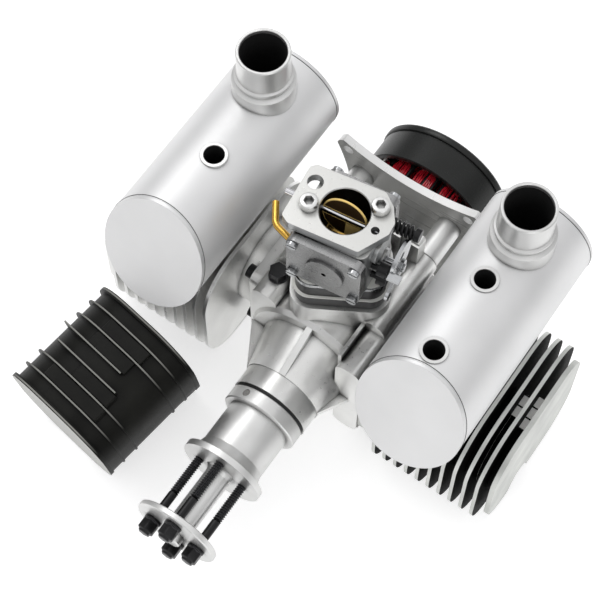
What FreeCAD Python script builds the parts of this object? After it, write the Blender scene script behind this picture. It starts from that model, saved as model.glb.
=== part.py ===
import FreeCAD, Part
import math
import os
import Sketcher

# Flat twin two-stroke aircraft engine, all lengths in millimetres.
# The crankshaft runs along Y with the propeller at -Y, +Z is up (carburettor side) and the
# cylinders point to +X (right) and -X (left). Pieces are drawn about the crank centre, where the
# shaft axis meets the middle of the two cylinders, and are then moved back by hub_reach, so that
# the origin of the part is the centre of the face that the propeller seats on.

DIMENSIONS = {
    # Crank train
    "bore": 36.0,
    "stroke": 26.0,
    "rod_length": 52.0,
    "cylinder_offset": 7.5,
    "rod_width": 7.0,
    "rod_side_gap": 0.4,
    "crank_pin_radius": 5.0,
    "wrist_pin_radius": 4.0,
    "big_end_wall": 3.3,
    "small_end_wall": 3.2,
    "web_radius": 22.0,
    "web_thickness": 7.0,
    "shaft_radius": 6.0,
    "nose_radius": 5.0,
    "running_fit": 0.05,
    "body_gap": 0.8,
    "crown_height": 15.0,
    "skirt_length": 14.0,
    "crown_thickness": 4.0,
    "piston_wall": 2.8,
    "ring_height": 1.2,
    "ring_depth": 1.6,
    "ring_below_crown": 3.0,
    # Crankcase
    "chamber_radius": 28.8,
    "case_wall": 4.8,
    "case_front": 24.5,
    "case_back": 34.0,
    "case_block_height": 24.0,
    "case_chamfer": 2.2,
    "pad_inner": 20.0,
    "pad_offset": 5.0,
    "pad_half_width": 28.0,
    "pad_half_height": 32.0,
    "pad_corner": 5.0,
    "pad_rib_x": 19.0,
    "pad_rib_start": 29.5,
    "pad_rib_end": 5.0,
    "pad_rib_top": 35.0,
    "pad_rib_width": 1.8,
    "snout_front": 57.6,
    "snout_ring_length": 10.6,
    "snout_radius": 19.6,
    "cone_radius": 25.5,
    "cone_step": 0.4,
    "gusset_thickness": 3.2,
    "gusset_inset": 0.6,
    "boss_top": 46.0,
    "boss_rim": 2.0,
    "lug_width": 25.0,
    "lug_front": 27.5,
    "lug_back": 34.0,
    "lug_top": 55.0,
    "bearing_outer": 14.0,
    "bearing_width": 8.0,
    "seal_width": 4.0,
    "seal_lip": 1.0,
    # Finned cylinders
    "gasket_thickness": 0.5,
    "flange_thickness": 5.0,
    "flange_half_width": 25.0,
    "flange_half_height": 27.0,
    "spigot_wall": 2.5,
    "spigot_length": 6.0,
    "barrel_wall": 5.0,
    "fin_reach": 109.9,
    "fin_pitch": 6.05,
    "fin_thickness": 1.8,
    "base_bolt_head": 4.0,
    "fin_clearance": 1.0,
    "fin_half_width": 41.4,
    "fin_half_height": 38.9,
    "fin_corner": 24.0,
    "end_fin_half_width": 37.4,
    "end_fin_half_height": 34.5,
    "end_fin_thickness": 2.4,
    "squish": 1.2,
    "chamber_depth": 7.0,
    "port_x": 66.0,
    "port_half_length": 11.0,
    "port_half_width": 26.0,
    "port_top": 43.0,
    "port_radius": 7.5,
    "plug_angle": 60.0,
    "plug_pocket": 9.0,
    "plug_seat": 14.0,
    "plug_thread": 3.5,
    "plug_hexagon": 6.4,
    "plug_length": 37.0,
    "head_lug_width": 5.4,
    "head_lug_step": 6.2,
    "head_lug_top": 25.2,
    "base_bolt_y": 19.5,
    "base_bolt_z": 21.5,
    # Silencers
    "muffler_radius": 26.0,
    "muffler_wall": 1.2,
    "muffler_x": 67.6,
    "saddle_foot": 2.0,
    "muffler_front": 49.6,
    "muffler_back": 59.4,
    "muffler_slant": 23.8,
    "cap_thickness": 1.6,
    "outlet_y": 36.8,
    "outlet_length": 27.9,
    "outlet_radius": 12.3,
    "outlet_wall": 1.6,
    "collar_radius": 14.6,
    "collar_height": 7.0,
    "bolt_tube_x": 65.0,
    "bolt_tube_spread": 20.0,
    "bolt_tube_shift": 1.5,
    "left_tube_y": 5.0,
    "bolt_tube_radius": 5.6,
    "bolt_tube_wall": 0.8,
    "bolt_tube_lip": 0.6,
    "muffler_bolt_radius": 2.1,
    # Rear plate, posts and generator
    "plate_front": 56.2,
    "plate_thickness": 4.0,
    "ear_x": 33.2,
    "ear_top_z": 47.1,
    "ear_low_z": 31.8,
    "ear_radius": 6.6,
    "ear_hole": 2.6,
    "edge_sweep": 95.0,
    "edge_top": 45.9,
    "edge_side": 30.5,
    "edge_low": 30.6,
    "post_x": 24.5,
    "post_top_z": 32.0,
    "post_low_z": 30.0,
    "post_radius": 7.0,
    "post_low_radius": 5.6,
    "post_front": 10.0,
    "left_post_front": 4.0,
    "cover_inset": 1.2,
    "cover_flange": 4.5,
    "cover_hub_radius": 17.0,
    "cover_hub_length": 8.0,
    "drum_radius": 31.4,
    "drum_front": 79.5,
    "drum_back": 98.0,
    "drum_wall": 2.4,
    "magnet_thickness": 1.5,
    "air_gap": 0.7,
    "stator_front": 66.0,
    "stator_back": 90.0,
    "stator_teeth": 12,
    "tooth_width": 3.2,
    "coil_width": 7.4,
    "coil_inner": 14.4,
    "coil_outer": 24.0,
    "coil_overhang": 3.0,
    "stator_sleeve": 13.6,
    "shoe_width": 10.6,
    # Propeller hub
    "hub_reach": 96.2,
    "hub_flange_radius": 20.9,
    "hub_flange_thickness": 3.1,
    "collar_front": 66.3,
    "hub_collar_radius": 19.3,
    "neck_radius": 15.9,
    "neck_flare": 17.2,
    "centre_boss_radius": 6.4,
    "washer_gap": 32.6,
    "washer_radius": 21.1,
    "washer_thickness": 3.0,
    "bolt_circle": 12.0,
    "prop_bolt_radius": 2.3,
    "prop_bolt_thread": 2.1,
    "prop_bolt_depth": 13.0,
    "prop_bolt_flange": 4.3,
    "prop_bolt_flats": 7.4,
    "prop_bolt_head": 5.4,
    "magnet_radius": 1.9,
    # Intake stack, turned about the crankcase boss
    "intake_y": 1.0,
    "stack_turn": 30.0,
    "stack_half_length": 21.0,
    "stack_half_depth": 17.3,
    "stack_corner": 8.0,
    "spacer_thickness": 8.4,
    "white_gasket": 0.8,
    "insulator_thickness": 8.3,
    "carb_plate_thickness": 2.0,
    "intake_radius": 9.5,
    "reed_length": 22.0,
    "reed_width": 14.0,
    # Carburettor, turned a little less
    "carb_turn": 7.0,
    "carb_seat_gasket": 0.5,
    "carb_height": 38.8,
    "carb_half_width": 17.5,
    "carb_half_depth": 15.6,
    "face_left": 23.4,
    "face_right": 21.6,
    "face_half_depth": 16.4,
    "face_thickness": 5.0,
    "carb_bore": 11.0,
    "venturi": 8.2,
    "throttle_bore": 9.4,
    "left_screw_x": 15.1,
    "left_screw_y": 4.6,
    "right_screw_x": 12.95,
    "right_screw_y": 7.9,
    "carb_screw_head": 4.0,
    "carb_screw_radius": 2.4,
    "cover_thickness": 4.6,
    "cover_half_width": 18.0,
    "cover_corner": 4.0,
    "choke_drop": 5.5,
    "choke_shaft_radius": 1.4,
    "throttle_drop": 27.0,
    "throttle_shaft_radius": 2.0,
    "lever_reach": 30.0,
    "lever_radius": 9.4,
    "lever_rise": 6.6,
    "lever_thickness": 1.6,
    "lever_tail": 10.0,
    "butterfly_thickness": 0.9,
    "fuel_tube_radius": 1.6,
    # Loose finned barrel that lies beside the engine
    "spare_x": 72.4,
    "spare_y": 89.3,
    "spare_turn": 8.5,
    "spare_lean": 17.0,
    "spare_pitch": 8.7,
    "spare_fins": 8,
    "spare_fin": 2.0,
    "spare_half_width": 35.0,
    "spare_half_height": 33.0,
    "spare_corner": 12.0,
    "spare_core_width": 32.4,
    "spare_core_height": 28.0,
    "spare_port_start": 12.0,
    "spare_port_length": 20.0,
    "spare_port_width": 22.0,
}

doc = FreeCAD.newDocument("flat_engine")
sheet = doc.addObject("Spreadsheet::Sheet", "Dims")
for row, (alias, value) in enumerate(DIMENSIONS.items(), start=1):
    sheet.set(f"A{row}", alias)
    sheet.set(f"B{row}", str(value))
    sheet.setAlias(f"B{row}", alias)
doc.recompute()


class Size:
    """A length that knows its number and the sheet formula it is worked out by."""

    def __init__(self, number, formula):
        self.number = float(number)
        self.formula = formula

    def __add__(self, other):
        other = size(other)
        return Size(self.number + other.number, f"({self.formula} + {other.formula})")

    def __sub__(self, other):
        other = size(other)
        return Size(self.number - other.number, f"({self.formula} - {other.formula})")

    def __mul__(self, other):
        other = size(other)
        return Size(self.number * other.number, f"({self.formula} * {other.formula})")

    def __truediv__(self, other):
        other = size(other)
        return Size(self.number / other.number, f"({self.formula} / {other.formula})")

    def __radd__(self, other):
        return size(other) + self

    def __rsub__(self, other):
        return size(other) - self

    def __rmul__(self, other):
        return size(other) * self

    def __neg__(self):
        return Size(-self.number, f"(0 - {self.formula})")


def size(value):
    """A plain number becomes a Size, and a Size stays as it is."""
    if isinstance(value, Size):
        return value
    return Size(value, f"({float(value):.9f})")


class Sheet:
    """Reads a named cell of the sheet as a Size."""

    def __getattr__(self, alias):
        return Size(float(sheet.get(alias)), f"Dims.{alias}")


D = Sheet()
X_AXIS = FreeCAD.Vector(1, 0, 0)
Y_AXIS = FreeCAD.Vector(0, 1, 0)
Z_AXIS = FreeCAD.Vector(0, 0, 1)
TURN = {
    "x": FreeCAD.Rotation(Y_AXIS, 90),
    "y": FreeCAD.Rotation(X_AXIS, -90),
    "z": FreeCAD.Rotation(),
}
RIGHT = 1
LEFT = -1
SIDES = {"right": RIGHT, "left": LEFT}


# Helpers that add one bound object to the document


def bind(item, **values):
    for prop, value in values.items():
        item.setExpression(prop, size(value).formula)
    return item


def place(item, at, rotation=None):
    at = [size(value) for value in at]
    base = FreeCAD.Vector(*[value.number for value in at])
    item.Placement = FreeCAD.Placement(base, rotation or FreeCAD.Rotation())
    for axis, value in zip("xyz", at):
        item.setExpression(f"Placement.Base.{axis}", value.formula)
    return item


def rod(radius, length, at, axis="z", name="Rod"):
    item = doc.addObject("Part::Cylinder", name)
    bind(item, Radius=radius, Height=length)
    return place(item, at, TURN[axis])


def taper(radius, far_radius, length, at, axis="z", name="Taper"):
    item = doc.addObject("Part::Cone", name)
    bind(item, Radius1=radius, Radius2=far_radius, Height=length)
    return place(item, at, TURN[axis])


def hexagon(across_flats, length, at, axis="z", name="Hexagon"):
    item = doc.addObject("Part::Prism", name)
    item.Polygon = 6
    bind(item, Circumradius=size(across_flats) / math.sqrt(3.0), Height=length)
    return place(item, at, TURN[axis])


def block(lengths, low, name="Block"):
    """A box by its three lengths and its low corner."""
    item = doc.addObject("Part::Box", name)
    bind(item, Length=lengths[0], Width=lengths[1], Height=lengths[2])
    return place(item, low)


def span(low, high, name="Span"):
    """A box between two corners."""
    lengths = [size(far) - near for near, far in zip(low, high)]
    return block(lengths, low, name)


def box_on(side, start, end, half_width, low, high, y=0):
    """A box between two distances from the crank on one side."""
    near, far = sorted((start * side, end * side), key=lambda edge: edge.number)
    return span((near, y - half_width, low), (far, y + half_width, high))


def wedge(start, end, near, far, rotation=None, at=(0, 0, 0), name="Wedge"):
    """A tapered bar along its own Y: near and far are its (x, x, z, z) limits at the two ends."""
    item = doc.addObject("Part::Wedge", name)
    bind(item, Ymin=start, Ymax=end)
    bind(item, Xmin=near[0], Xmax=near[1], Zmin=near[2], Zmax=near[3])
    bind(item, X2min=far[0], X2max=far[1], Z2min=far[2], Z2max=far[3])
    return place(item, at, rotation)


def slab(half_length, start, depth, half_height, centre, lean, name="Slab"):
    """A plate across Y at centre, its top leaned back by an angle, from start over depth."""
    angle = math.radians(lean.number)
    sine, cosine = math.sin(angle), math.cos(angle)
    low_y = size(centre[1]) + size(start) * cosine - size(half_height) * sine
    low_z = size(centre[2]) - size(start) * sine - size(half_height) * cosine
    item = doc.addObject("Part::Box", name)
    bind(item, Length=size(half_length) * 2, Width=depth, Height=size(half_height) * 2)
    low = (size(centre[0]) - half_length, low_y, low_z)
    return place(item, low, FreeCAD.Rotation(X_AXIS, -lean.number))


def fuse(*shapes, name="Fused"):
    if len(shapes) == 1:
        return shapes[0]
    item = doc.addObject("Part::MultiFuse", name)
    item.Shapes = list(shapes)
    return item


def cut(base, *tools, name="Cut"):
    item = doc.addObject("Part::Cut", name)
    item.Base = base
    item.Tool = fuse(*tools)
    return item


def common(base, tool, name="Common"):
    item = doc.addObject("Part::Common", name)
    item.Base = base
    item.Tool = tool
    return item


def group(*shapes, name="Group"):
    """Several separate solids of one kind."""
    item = doc.addObject("Part::Compound", name)
    item.Links = list(shapes)
    return item


def rounded(base, radius, direction, name="Rounded"):
    """Rounds the straight edges of a box that run along one direction."""
    doc.recompute()
    item = doc.addObject("Part::Fillet", name)
    item.Base = base
    edges = []
    for number, edge in enumerate(base.Shape.Edges, start=1):
        run = edge.Vertexes[-1].Point - edge.Vertexes[0].Point
        if run.Length > 0 and abs(run.normalize().dot(direction)) > 0.999:
            edges.append((number, radius.number, radius.number))
    item.Edges = edges
    return item


def outlined(plane, corners, name):
    """A PartDesign body that holds one closed, fully fixed outline of straight lines."""
    body = doc.addObject("PartDesign::Body", name)
    sketch = body.newObject("Sketcher::SketchObject", f"{name}Outline")
    support = [item for item in body.Origin.OriginFeatures if item.Role == plane][0]
    sketch.AttachmentSupport = [(support, "")]
    sketch.MapMode = "FlatFace"
    corners = [[size(value) for value in pair] for pair in corners]
    points = [FreeCAD.Vector(pair[0].number, pair[1].number, 0) for pair in corners]
    for number, point in enumerate(points):
        sketch.addGeometry(Part.LineSegment(point, points[(number + 1) % len(points)]))
    for number, pair in enumerate(corners):
        following = (number + 1) % len(points)
        sketch.addConstraint(Sketcher.Constraint("Coincident", number, 2, following, 1))
        for kind, line, value in (("DistanceX", -2, pair[0]), ("DistanceY", -1, pair[1])):
            if value.number == 0:
                sketch.addConstraint(Sketcher.Constraint("PointOnObject", number, 1, line))
                continue
            rule = Sketcher.Constraint(kind, -1, 1, number, 1, value.number)
            index = sketch.addConstraint(rule)
            sketch.setExpression(f"Constraints[{index}]", value.formula)
    sketch.Visibility = False
    return body, sketch


def turned(axis, outline, name="Turned"):
    """A body turned about an axis from its (along, radius) corners."""
    plane = "XZ_Plane" if axis == "z" else "XY_Plane"
    corners = [pair if axis == "x" else (pair[1], pair[0]) for pair in outline]
    body, sketch = outlined(plane, corners, name)
    revolution = body.newObject("PartDesign::Revolution", f"{name}Revolution")
    revolution.Profile = sketch
    revolution.ReferenceAxis = (sketch, ["H_Axis" if axis == "x" else "V_Axis"])
    revolution.Angle = 360
    body.Tip = revolution
    return body


def padded(corners, low, thickness, name="Padded"):
    """A flat body of any straight-edged outline in X and Y, from low upwards."""
    body, sketch = outlined("XY_Plane", corners, name)
    pad = body.newObject("PartDesign::Pad", f"{name}Pad")
    pad.Profile = sketch
    bind(pad, Length=thickness)
    body.Tip = pad
    return place(body, (0, 0, low))


def bar(radius, start, end, name="Bar"):
    """A straight round bar between two points."""
    start = FreeCAD.Vector(*[size(value).number for value in start])
    end = FreeCAD.Vector(*[size(value).number for value in end])
    item = doc.addObject("Part::Cylinder", name)
    bind(item, Radius=radius, Height=(end - start).Length)
    return place(item, start, FreeCAD.Rotation(Z_AXIS, end - start))


def polar(radius, degrees):
    """The two coordinates of a point on a circle, from +X towards +Z."""
    angle = math.radians(degrees)
    return size(radius) * math.cos(angle), size(radius) * math.sin(angle)


nodes = {}


def publish(item, label, at=(0, 0, 0), rotation=None):
    """Gives a finished sub-part its name and moves it from the crank centre to the part's frame."""
    item.Label = label
    place(item, (at[0], D.hub_reach + at[1], at[2]), rotation)
    nodes[label] = item


STACK_ROTATION = FreeCAD.Rotation(Z_AXIS, D.stack_turn.number)
CARB_ROTATION = FreeCAD.Rotation(Z_AXIS, D.carb_turn.number)


def publish_stack(item, label):
    publish(item, label, (0, D.intake_y, 0), STACK_ROTATION)


def publish_carb(item, label):
    publish(item, label, (0, D.intake_y, 0), CARB_ROTATION)


# Sizes that several pieces share

crank_radius = D.stroke / 2
bore_radius = D.bore / 2
wrist_x = D.rod_length + crank_radius
crown_x = wrist_x + D.crown_height
head_x = crown_x + D.squish
plug_start = head_x + D.chamber_depth - 2
case_radius = D.chamber_radius + D.case_wall
web_inner = D.cylinder_offset + D.rod_width / 2 + D.rod_side_gap
web_outer = web_inner + D.web_thickness
centre_web = D.cylinder_offset - D.rod_width / 2 - D.rod_side_gap
chamber_front = web_outer + D.body_gap
snout_step = D.snout_front - D.snout_ring_length
bearing_front = D.snout_front - D.seal_width - D.seal_lip
rear_bearing_front = web_outer + D.body_gap + 3.0
spigot_radius = bore_radius + D.spigot_wall
mouth_radius = spigot_radius + D.running_fit * 4
pad_reach = case_radius
cover_radius = case_radius - D.cover_inset
flange_start = pad_reach + D.gasket_thickness
flange_end = flange_start + D.flange_thickness
barrel_radius = bore_radius + D.barrel_wall
piston_low = wrist_x - D.stroke - D.skirt_length - D.body_gap
plate_back = D.plate_front + D.plate_thickness
washer_back = D.hub_reach + D.washer_gap
washer_front = washer_back + D.washer_thickness
muffler_z = D.port_top + D.saddle_foot + D.muffler_radius
muffler_top = muffler_z + D.muffler_radius
muffler_bottom = muffler_z - D.muffler_radius
outlet_top = muffler_top + D.outlet_length
spacer_top = D.boss_top + D.spacer_thickness
gasket_top = spacer_top + D.white_gasket
insulator_top = gasket_top + D.insulator_thickness
carb_plate_top = insulator_top + D.carb_plate_thickness
carb_base = carb_plate_top + D.carb_seat_gasket
carb_top = carb_base + D.carb_height
choke_z = carb_top - D.choke_drop
throttle_z = carb_top - D.throttle_drop


def fins_beyond(reach):
    """How many fins have their inner faces further out than a distance from the crank."""
    return int((D.fin_reach - D.fin_thickness - reach).number / D.fin_pitch.number)


head_fins = fins_beyond(head_x)
all_fins = fins_beyond(flange_end + D.base_bolt_head + D.fin_clearance)
head_seam = D.fin_reach - D.fin_pitch * (head_fins + 0.5) - D.fin_thickness / 2


def cylinder_y(side):
    """The right cylinder sits ahead of the crank centre and the left one behind it."""
    return D.cylinder_offset * -side


# Crankcase


def crankcase():
    """The case itself: round drum, square block, one pad for each cylinder and the seats of the posts."""
    outline = [
        (-D.case_front, 0),
        (-D.case_front, case_radius - D.case_chamfer),
        (-D.case_front + D.case_chamfer, case_radius),
        (D.case_back, case_radius),
        (D.case_back, 0),
    ]
    drum = turned("y", outline, "CaseDrum")
    body = span(
        (-pad_reach, -D.case_front + D.case_chamfer, -D.case_block_height),
        (pad_reach, D.case_back, D.case_block_height),
    )
    forms = [drum, rounded(body, D.pad_corner, Y_AXIS)]
    for side in SIDES.values():
        forms.append(rounded(cylinder_pad(side), D.pad_corner, Y_AXIS))
        post_start = D.post_front if side == RIGHT else D.left_post_front
        top = (D.post_x * side, -post_start, D.post_top_z)
        forms.append(rod(D.post_radius, D.case_back + post_start, top, "y"))
        low_start = D.case_back - D.pad_half_width
        low = (D.post_x * side, low_start, -D.post_low_z)
        forms.append(rod(D.post_low_radius, D.pad_half_width, low, "y"))
    rib_low = (D.pad_rib_x, -D.pad_rib_start, D.case_block_height)
    rib_high = (D.pad_rib_x + D.pad_rib_width, -D.pad_rib_end, D.pad_rib_top)
    forms.append(span(rib_low, rib_high))
    forms.append(intake_boss())
    forms.extend(rear_lug())
    throat = D.case_front - chamber_front
    hollows = [
        rod(D.chamber_radius, chamber_front + D.case_back, (0, -chamber_front, 0), "y"),
        rod(D.shaft_radius + 2, throat, (0, -D.case_front, 0), "y"),
    ]
    for side in SIDES.values():
        start = D.pad_inner * side if side == RIGHT else -pad_reach
        mouth = rod(mouth_radius, pad_reach - D.pad_inner, (start, cylinder_y(side), 0), "x")
        hollows.append(mouth)
    hollows.append(intake_passage())
    publish(cut(fuse(*forms), *hollows), "crankcase")


def cylinder_pad(side):
    """The square seat of one cylinder on the case."""
    height = D.pad_half_height
    return box_on(side, D.pad_inner, pad_reach, D.pad_half_width, -height, height, -D.pad_offset * side)


def front_housing():
    """The snout that carries the front bearing: a cone with four webs and a turned ring in front."""
    cone_length = snout_step - D.case_front
    foot = D.snout_radius + D.cone_step
    forms = [taper(foot, D.cone_radius, cone_length, (0, -snout_step, 0), "y")]
    forms.append(rod(D.snout_radius, D.snout_ring_length, (0, -D.snout_front, 0), "y"))
    forms.extend(gussets())
    seat_depth = D.snout_front - bearing_front + D.bearing_width
    seat = rod(D.bearing_outer, seat_depth, (0, -D.snout_front, 0), "y")
    throat = rod(D.shaft_radius + 2, D.snout_front - D.case_front, (0, -D.snout_front, 0), "y")
    publish(cut(fuse(*forms), seat, throat, cylinder_pad(RIGHT)), "front_housing")


def gussets():
    """Four webs that stiffen the snout: above, below and at both sides."""
    half = D.gusset_thickness / 2
    webs = []
    upright, sideways = case_radius - D.case_chamfer, pad_reach - D.gusset_inset
    reaches = {0: upright, 90: sideways, 180: upright, 270: sideways}
    for degrees, reach in reaches.items():
        near = (-half, half, D.snout_radius - 4, D.snout_radius + 0.6)
        far = (-half, half, D.snout_radius - 4, reach)
        turn = FreeCAD.Rotation(Y_AXIS, degrees)
        webs.append(wedge(-snout_step, -D.case_front, near, far, turn))
    return webs


def rear_lug():
    """The fluted cast lug that rises behind the carburettor, right of the middle."""
    step = D.lug_width / 5
    foot = D.case_block_height - 4
    web = span((-1, D.lug_front + 1.5, foot), (D.lug_width - 1, D.lug_back, D.lug_top))
    ribs = [rounded(web, size(2.0), Y_AXIS)]
    for number in range(3):
        start = step * number * 2 - 1
        rib = span((start, D.lug_front, foot), (start + step, D.lug_back, D.lug_top - 1))
        ribs.append(rib)
    return ribs


def intake_boss():
    """The raised seat of the intake stack, turned with it, its rim a little wider."""
    half_length = D.stack_half_length + D.boss_rim
    half_depth = D.stack_half_depth + D.boss_rim
    boss = span((-half_length, -half_depth, D.case_block_height), (half_length, half_depth, D.boss_top))
    boss = fuse(rounded(boss, D.stack_corner + D.boss_rim, Z_AXIS))
    moved = group(boss)
    return place(moved, (0, D.intake_y, 0), STACK_ROTATION)


def intake_passage():
    half_length = D.reed_length / 2 + 1.5
    half_depth = D.reed_width / 2 + 1.5
    start = D.chamber_radius * 0.7
    shaft = span((-half_length, -half_depth, start), (half_length, half_depth, D.boss_top))
    moved = group(shaft)
    return place(moved, (0, D.intake_y, 0), STACK_ROTATION)


def rear_cover():
    """Closes the crank chamber and carries the rear bearing."""
    back = D.case_back + D.cover_flange
    seat_back = rear_bearing_front + D.bearing_width
    outline = [
        (rear_bearing_front, D.bearing_outer),
        (rear_bearing_front, D.chamber_radius - D.running_fit),
        (D.case_back, D.chamber_radius - D.running_fit),
        (D.case_back, cover_radius),
        (back, cover_radius),
        (back, D.cover_hub_radius),
        (back + D.cover_hub_length - 1, D.cover_hub_radius),
        (back + D.cover_hub_length, D.cover_hub_radius - 1),
        (back + D.cover_hub_length, D.shaft_radius + 2),
        (seat_back, D.shaft_radius + 2),
        (seat_back, D.bearing_outer),
    ]
    cover = turned("y", outline, "RearCover")
    holes = []
    for degrees in range(30, 390, 60):
        x, z = polar(D.chamber_radius + D.case_wall / 2 - 0.8, degrees)
        holes.append(rod(1.6, D.cover_flange, (x, D.case_back, z), "y"))
    relief = rod(mouth_radius, pad_reach - piston_low, (-pad_reach, cylinder_y(LEFT), 0), "x")
    publish(cut(cover, relief, *holes), "rear_cover")


def ball_bearing(start):
    """One sealed ball bearing, closed by its two shields."""
    inner = D.shaft_radius + D.running_fit
    outer = D.bearing_outer
    groove = 0.4
    outline = [
        (start, inner),
        (start, inner + 2),
        (start + groove, inner + 2),
        (start + groove, outer - 2),
        (start, outer - 2),
        (start, outer),
        (start + D.bearing_width, outer),
        (start + D.bearing_width, outer - 2),
        (start + D.bearing_width - groove, outer - 2),
        (start + D.bearing_width - groove, inner + 2),
        (start + D.bearing_width, inner + 2),
        (start + D.bearing_width, inner),
    ]
    return turned("y", outline, "Bearing")


def bearings_and_seals():
    publish(group(ball_bearing(-bearing_front), ball_bearing(rear_bearing_front)), "crank_bearings")
    inner = D.shaft_radius + 0.1
    front = [
        (-D.snout_front - D.seal_lip, D.bearing_outer - 1),
        (-D.snout_front - D.seal_lip, D.snout_radius - 0.8),
        (-D.snout_front, D.snout_radius - 0.8),
        (-D.snout_front, D.bearing_outer),
        (-bearing_front - 0.1, D.bearing_outer),
        (-bearing_front - 0.1, inner),
        (-bearing_front - 1.5, inner),
        (-bearing_front - 1.5, D.bearing_outer - 1),
    ]
    back = D.case_back + D.cover_flange + D.cover_hub_length
    rear = [
        (back - D.seal_width, inner),
        (back - D.seal_width, D.shaft_radius + 2),
        (back, D.shaft_radius + 2),
        (back, inner),
    ]
    publish(group(turned("y", front, "FrontSeal"), turned("y", rear, "RearSeal")), "crank_seals")


# Finned cylinders, one per side


def fin_block(side, first, last):
    """Equal fins, numbered from the end fin inwards: one long rounded block with slots between."""
    inner = D.fin_reach - D.fin_pitch * last - D.fin_thickness
    outer = D.fin_reach - D.fin_pitch * first
    width, height = D.fin_half_width, D.fin_half_height
    long_block = rounded(box_on(side, inner, outer, width, -height, height), D.fin_corner, X_AXIS)
    slots = []
    for number in range(first, last):
        slot_end = D.fin_reach - D.fin_pitch * number - D.fin_thickness
        slot_start = D.fin_reach - D.fin_pitch * (number + 1)
        slots.append(box_on(side, slot_start, slot_end, width + 1, -height - 1, height + 1))
    return cut(long_block, *slots)


def end_fin(side):
    start = D.fin_reach - D.end_fin_thickness
    height = D.end_fin_half_height
    plate = box_on(side, start, D.fin_reach, D.end_fin_half_width, -height, height)
    return rounded(plate, D.fin_corner - 3, X_AXIS)


def head_lugs(side):
    """Small cast blocks on top of the head that tie its outer fins together."""
    lugs = []
    for gap, count in ((0, 3), (1, 2)):
        inner = D.fin_reach - D.fin_pitch * (gap + 1)
        outer = D.fin_reach - D.fin_pitch * gap - D.fin_thickness
        for number in range(count):
            y = D.head_lug_step * (number - (count - 1) / 2)
            half = D.head_lug_width / 2
            lugs.append(box_on(side, inner - 1, outer + 1, half, bore_radius - 4, D.head_lug_top, y))
    return lugs


def along(side, start, end):
    """Start of a length along X on one side, from its two distances from the crank."""
    return start if side == RIGHT else -end


def side_rod(side, radius, start, end, y, z):
    return rod(radius, end - start, (along(side, start, end), y, z), "x")


def muffler_tube_places(side):
    """Distances along Y of the tubes that the silencer's fixing bolts drop through."""
    if side == LEFT:
        return [-D.left_tube_y]
    middle = cylinder_y(side) - D.bolt_tube_shift
    return [middle - D.bolt_tube_spread, middle + D.bolt_tube_spread]


def plug_rotation(side):
    """Points a turned piece's Z axis outwards and down by the plug angle."""
    return FreeCAD.Rotation(Y_AXIS, side * (90 + D.plug_angle.number))


def finned_cylinder(name, side):
    """The barrel with its flange, spigot, exhaust port and inner fins, up to the head."""
    y = cylinder_y(side)
    forms = [fin_block(side, head_fins + 1, all_fins)]
    forms.append(side_rod(side, barrel_radius, flange_start, head_seam, y, 0))
    low = along(side, flange_start, flange_end)
    flange = span(
        (low, y - D.flange_half_width, -D.flange_half_height),
        (low + D.flange_thickness, y + D.flange_half_width, D.flange_half_height),
    )
    forms.append(rounded(flange, D.pad_corner, X_AXIS))
    forms.append(side_rod(side, spigot_radius, flange_start - D.spigot_length, flange_end, y, 0))
    port_low = along(side, D.port_x - D.port_half_length, D.port_x + D.port_half_length)
    port = span(
        (port_low, y - port_shift(side) - D.port_half_width, 0),
        (port_low + D.port_half_length * 2, y + D.port_half_width, D.port_top),
    )
    forms.append(rounded(port, D.pad_corner, Z_AXIS))
    hollows = combustion_chamber(side)
    depth = D.port_top - bore_radius + 6
    hollows.append(rod(D.port_radius, depth, (D.port_x * side, y, bore_radius - 6)))
    for place_y in muffler_tube_places(side):
        foot = (D.bolt_tube_x * side, place_y, D.port_top - 10)
        hollows.append(rod(D.muffler_bolt_radius + 0.1, 10, foot))
    for bolt_y, bolt_z in base_bolt_places(side):
        hollows.append(side_rod(side, 2.2, flange_start, flange_end, bolt_y, bolt_z))
    publish(cut(fuse(*forms), *hollows), f"{name}_cylinder")


def cylinder_head(name, side):
    """The outer end of the cylinder: domed chamber, plug pocket, outer fins and the end fin."""
    y = cylinder_y(side)
    forms = [fin_block(side, 1, head_fins), end_fin(side)]
    forms.append(side_rod(side, barrel_radius, head_seam, D.fin_reach - D.end_fin_thickness, y, 0))
    forms.extend(head_lugs(side))
    hollows = combustion_chamber(side)
    pocket = doc.addObject("Part::Cylinder", "PlugPocket")
    bind(pocket, Radius=D.plug_pocket, Height=D.fin_half_height + D.fin_corner)
    seat_along, seat_drop = polar(D.plug_seat, D.plug_angle.number)
    seat = ((plug_start + seat_along) * side, y, -seat_drop)
    hollows.append(place(pocket, seat, plug_rotation(side)))
    plug_hole = doc.addObject("Part::Cylinder", "PlugHole")
    bind(plug_hole, Radius=D.plug_thread + 0.1, Height=D.plug_seat + 8)
    hollows.append(place(plug_hole, (plug_start * side, y, 0), plug_rotation(side)))
    publish(cut(fuse(*forms), *hollows), f"{name}_head")


def combustion_chamber(side):
    """The bore with its cone-shaped roof."""
    y = cylinder_y(side)
    bore = side_rod(side, bore_radius, flange_start - D.spigot_length - 1, head_x, y, 0)
    dome_start = along(side, head_x, head_x + D.chamber_depth)
    wide, narrow = bore_radius, bore_radius * 0.45
    near_radius, far_radius = (wide, narrow) if side == RIGHT else (narrow, wide)
    return [bore, taper(near_radius, far_radius, D.chamber_depth, (dome_start, y, 0), "x")]


def port_shift(side):
    """The right exhaust port is a little longer to the front, where its second fixing bolt stands."""
    return D.bolt_tube_shift if side == RIGHT else size(0)


def base_bolt_places(side):
    y = cylinder_y(side)
    corners = ((-1, -1), (-1, 1), (1, -1), (1, 1))
    return [(y + D.base_bolt_y * sign_y, D.base_bolt_z * sign_z) for sign_y, sign_z in corners]


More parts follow.
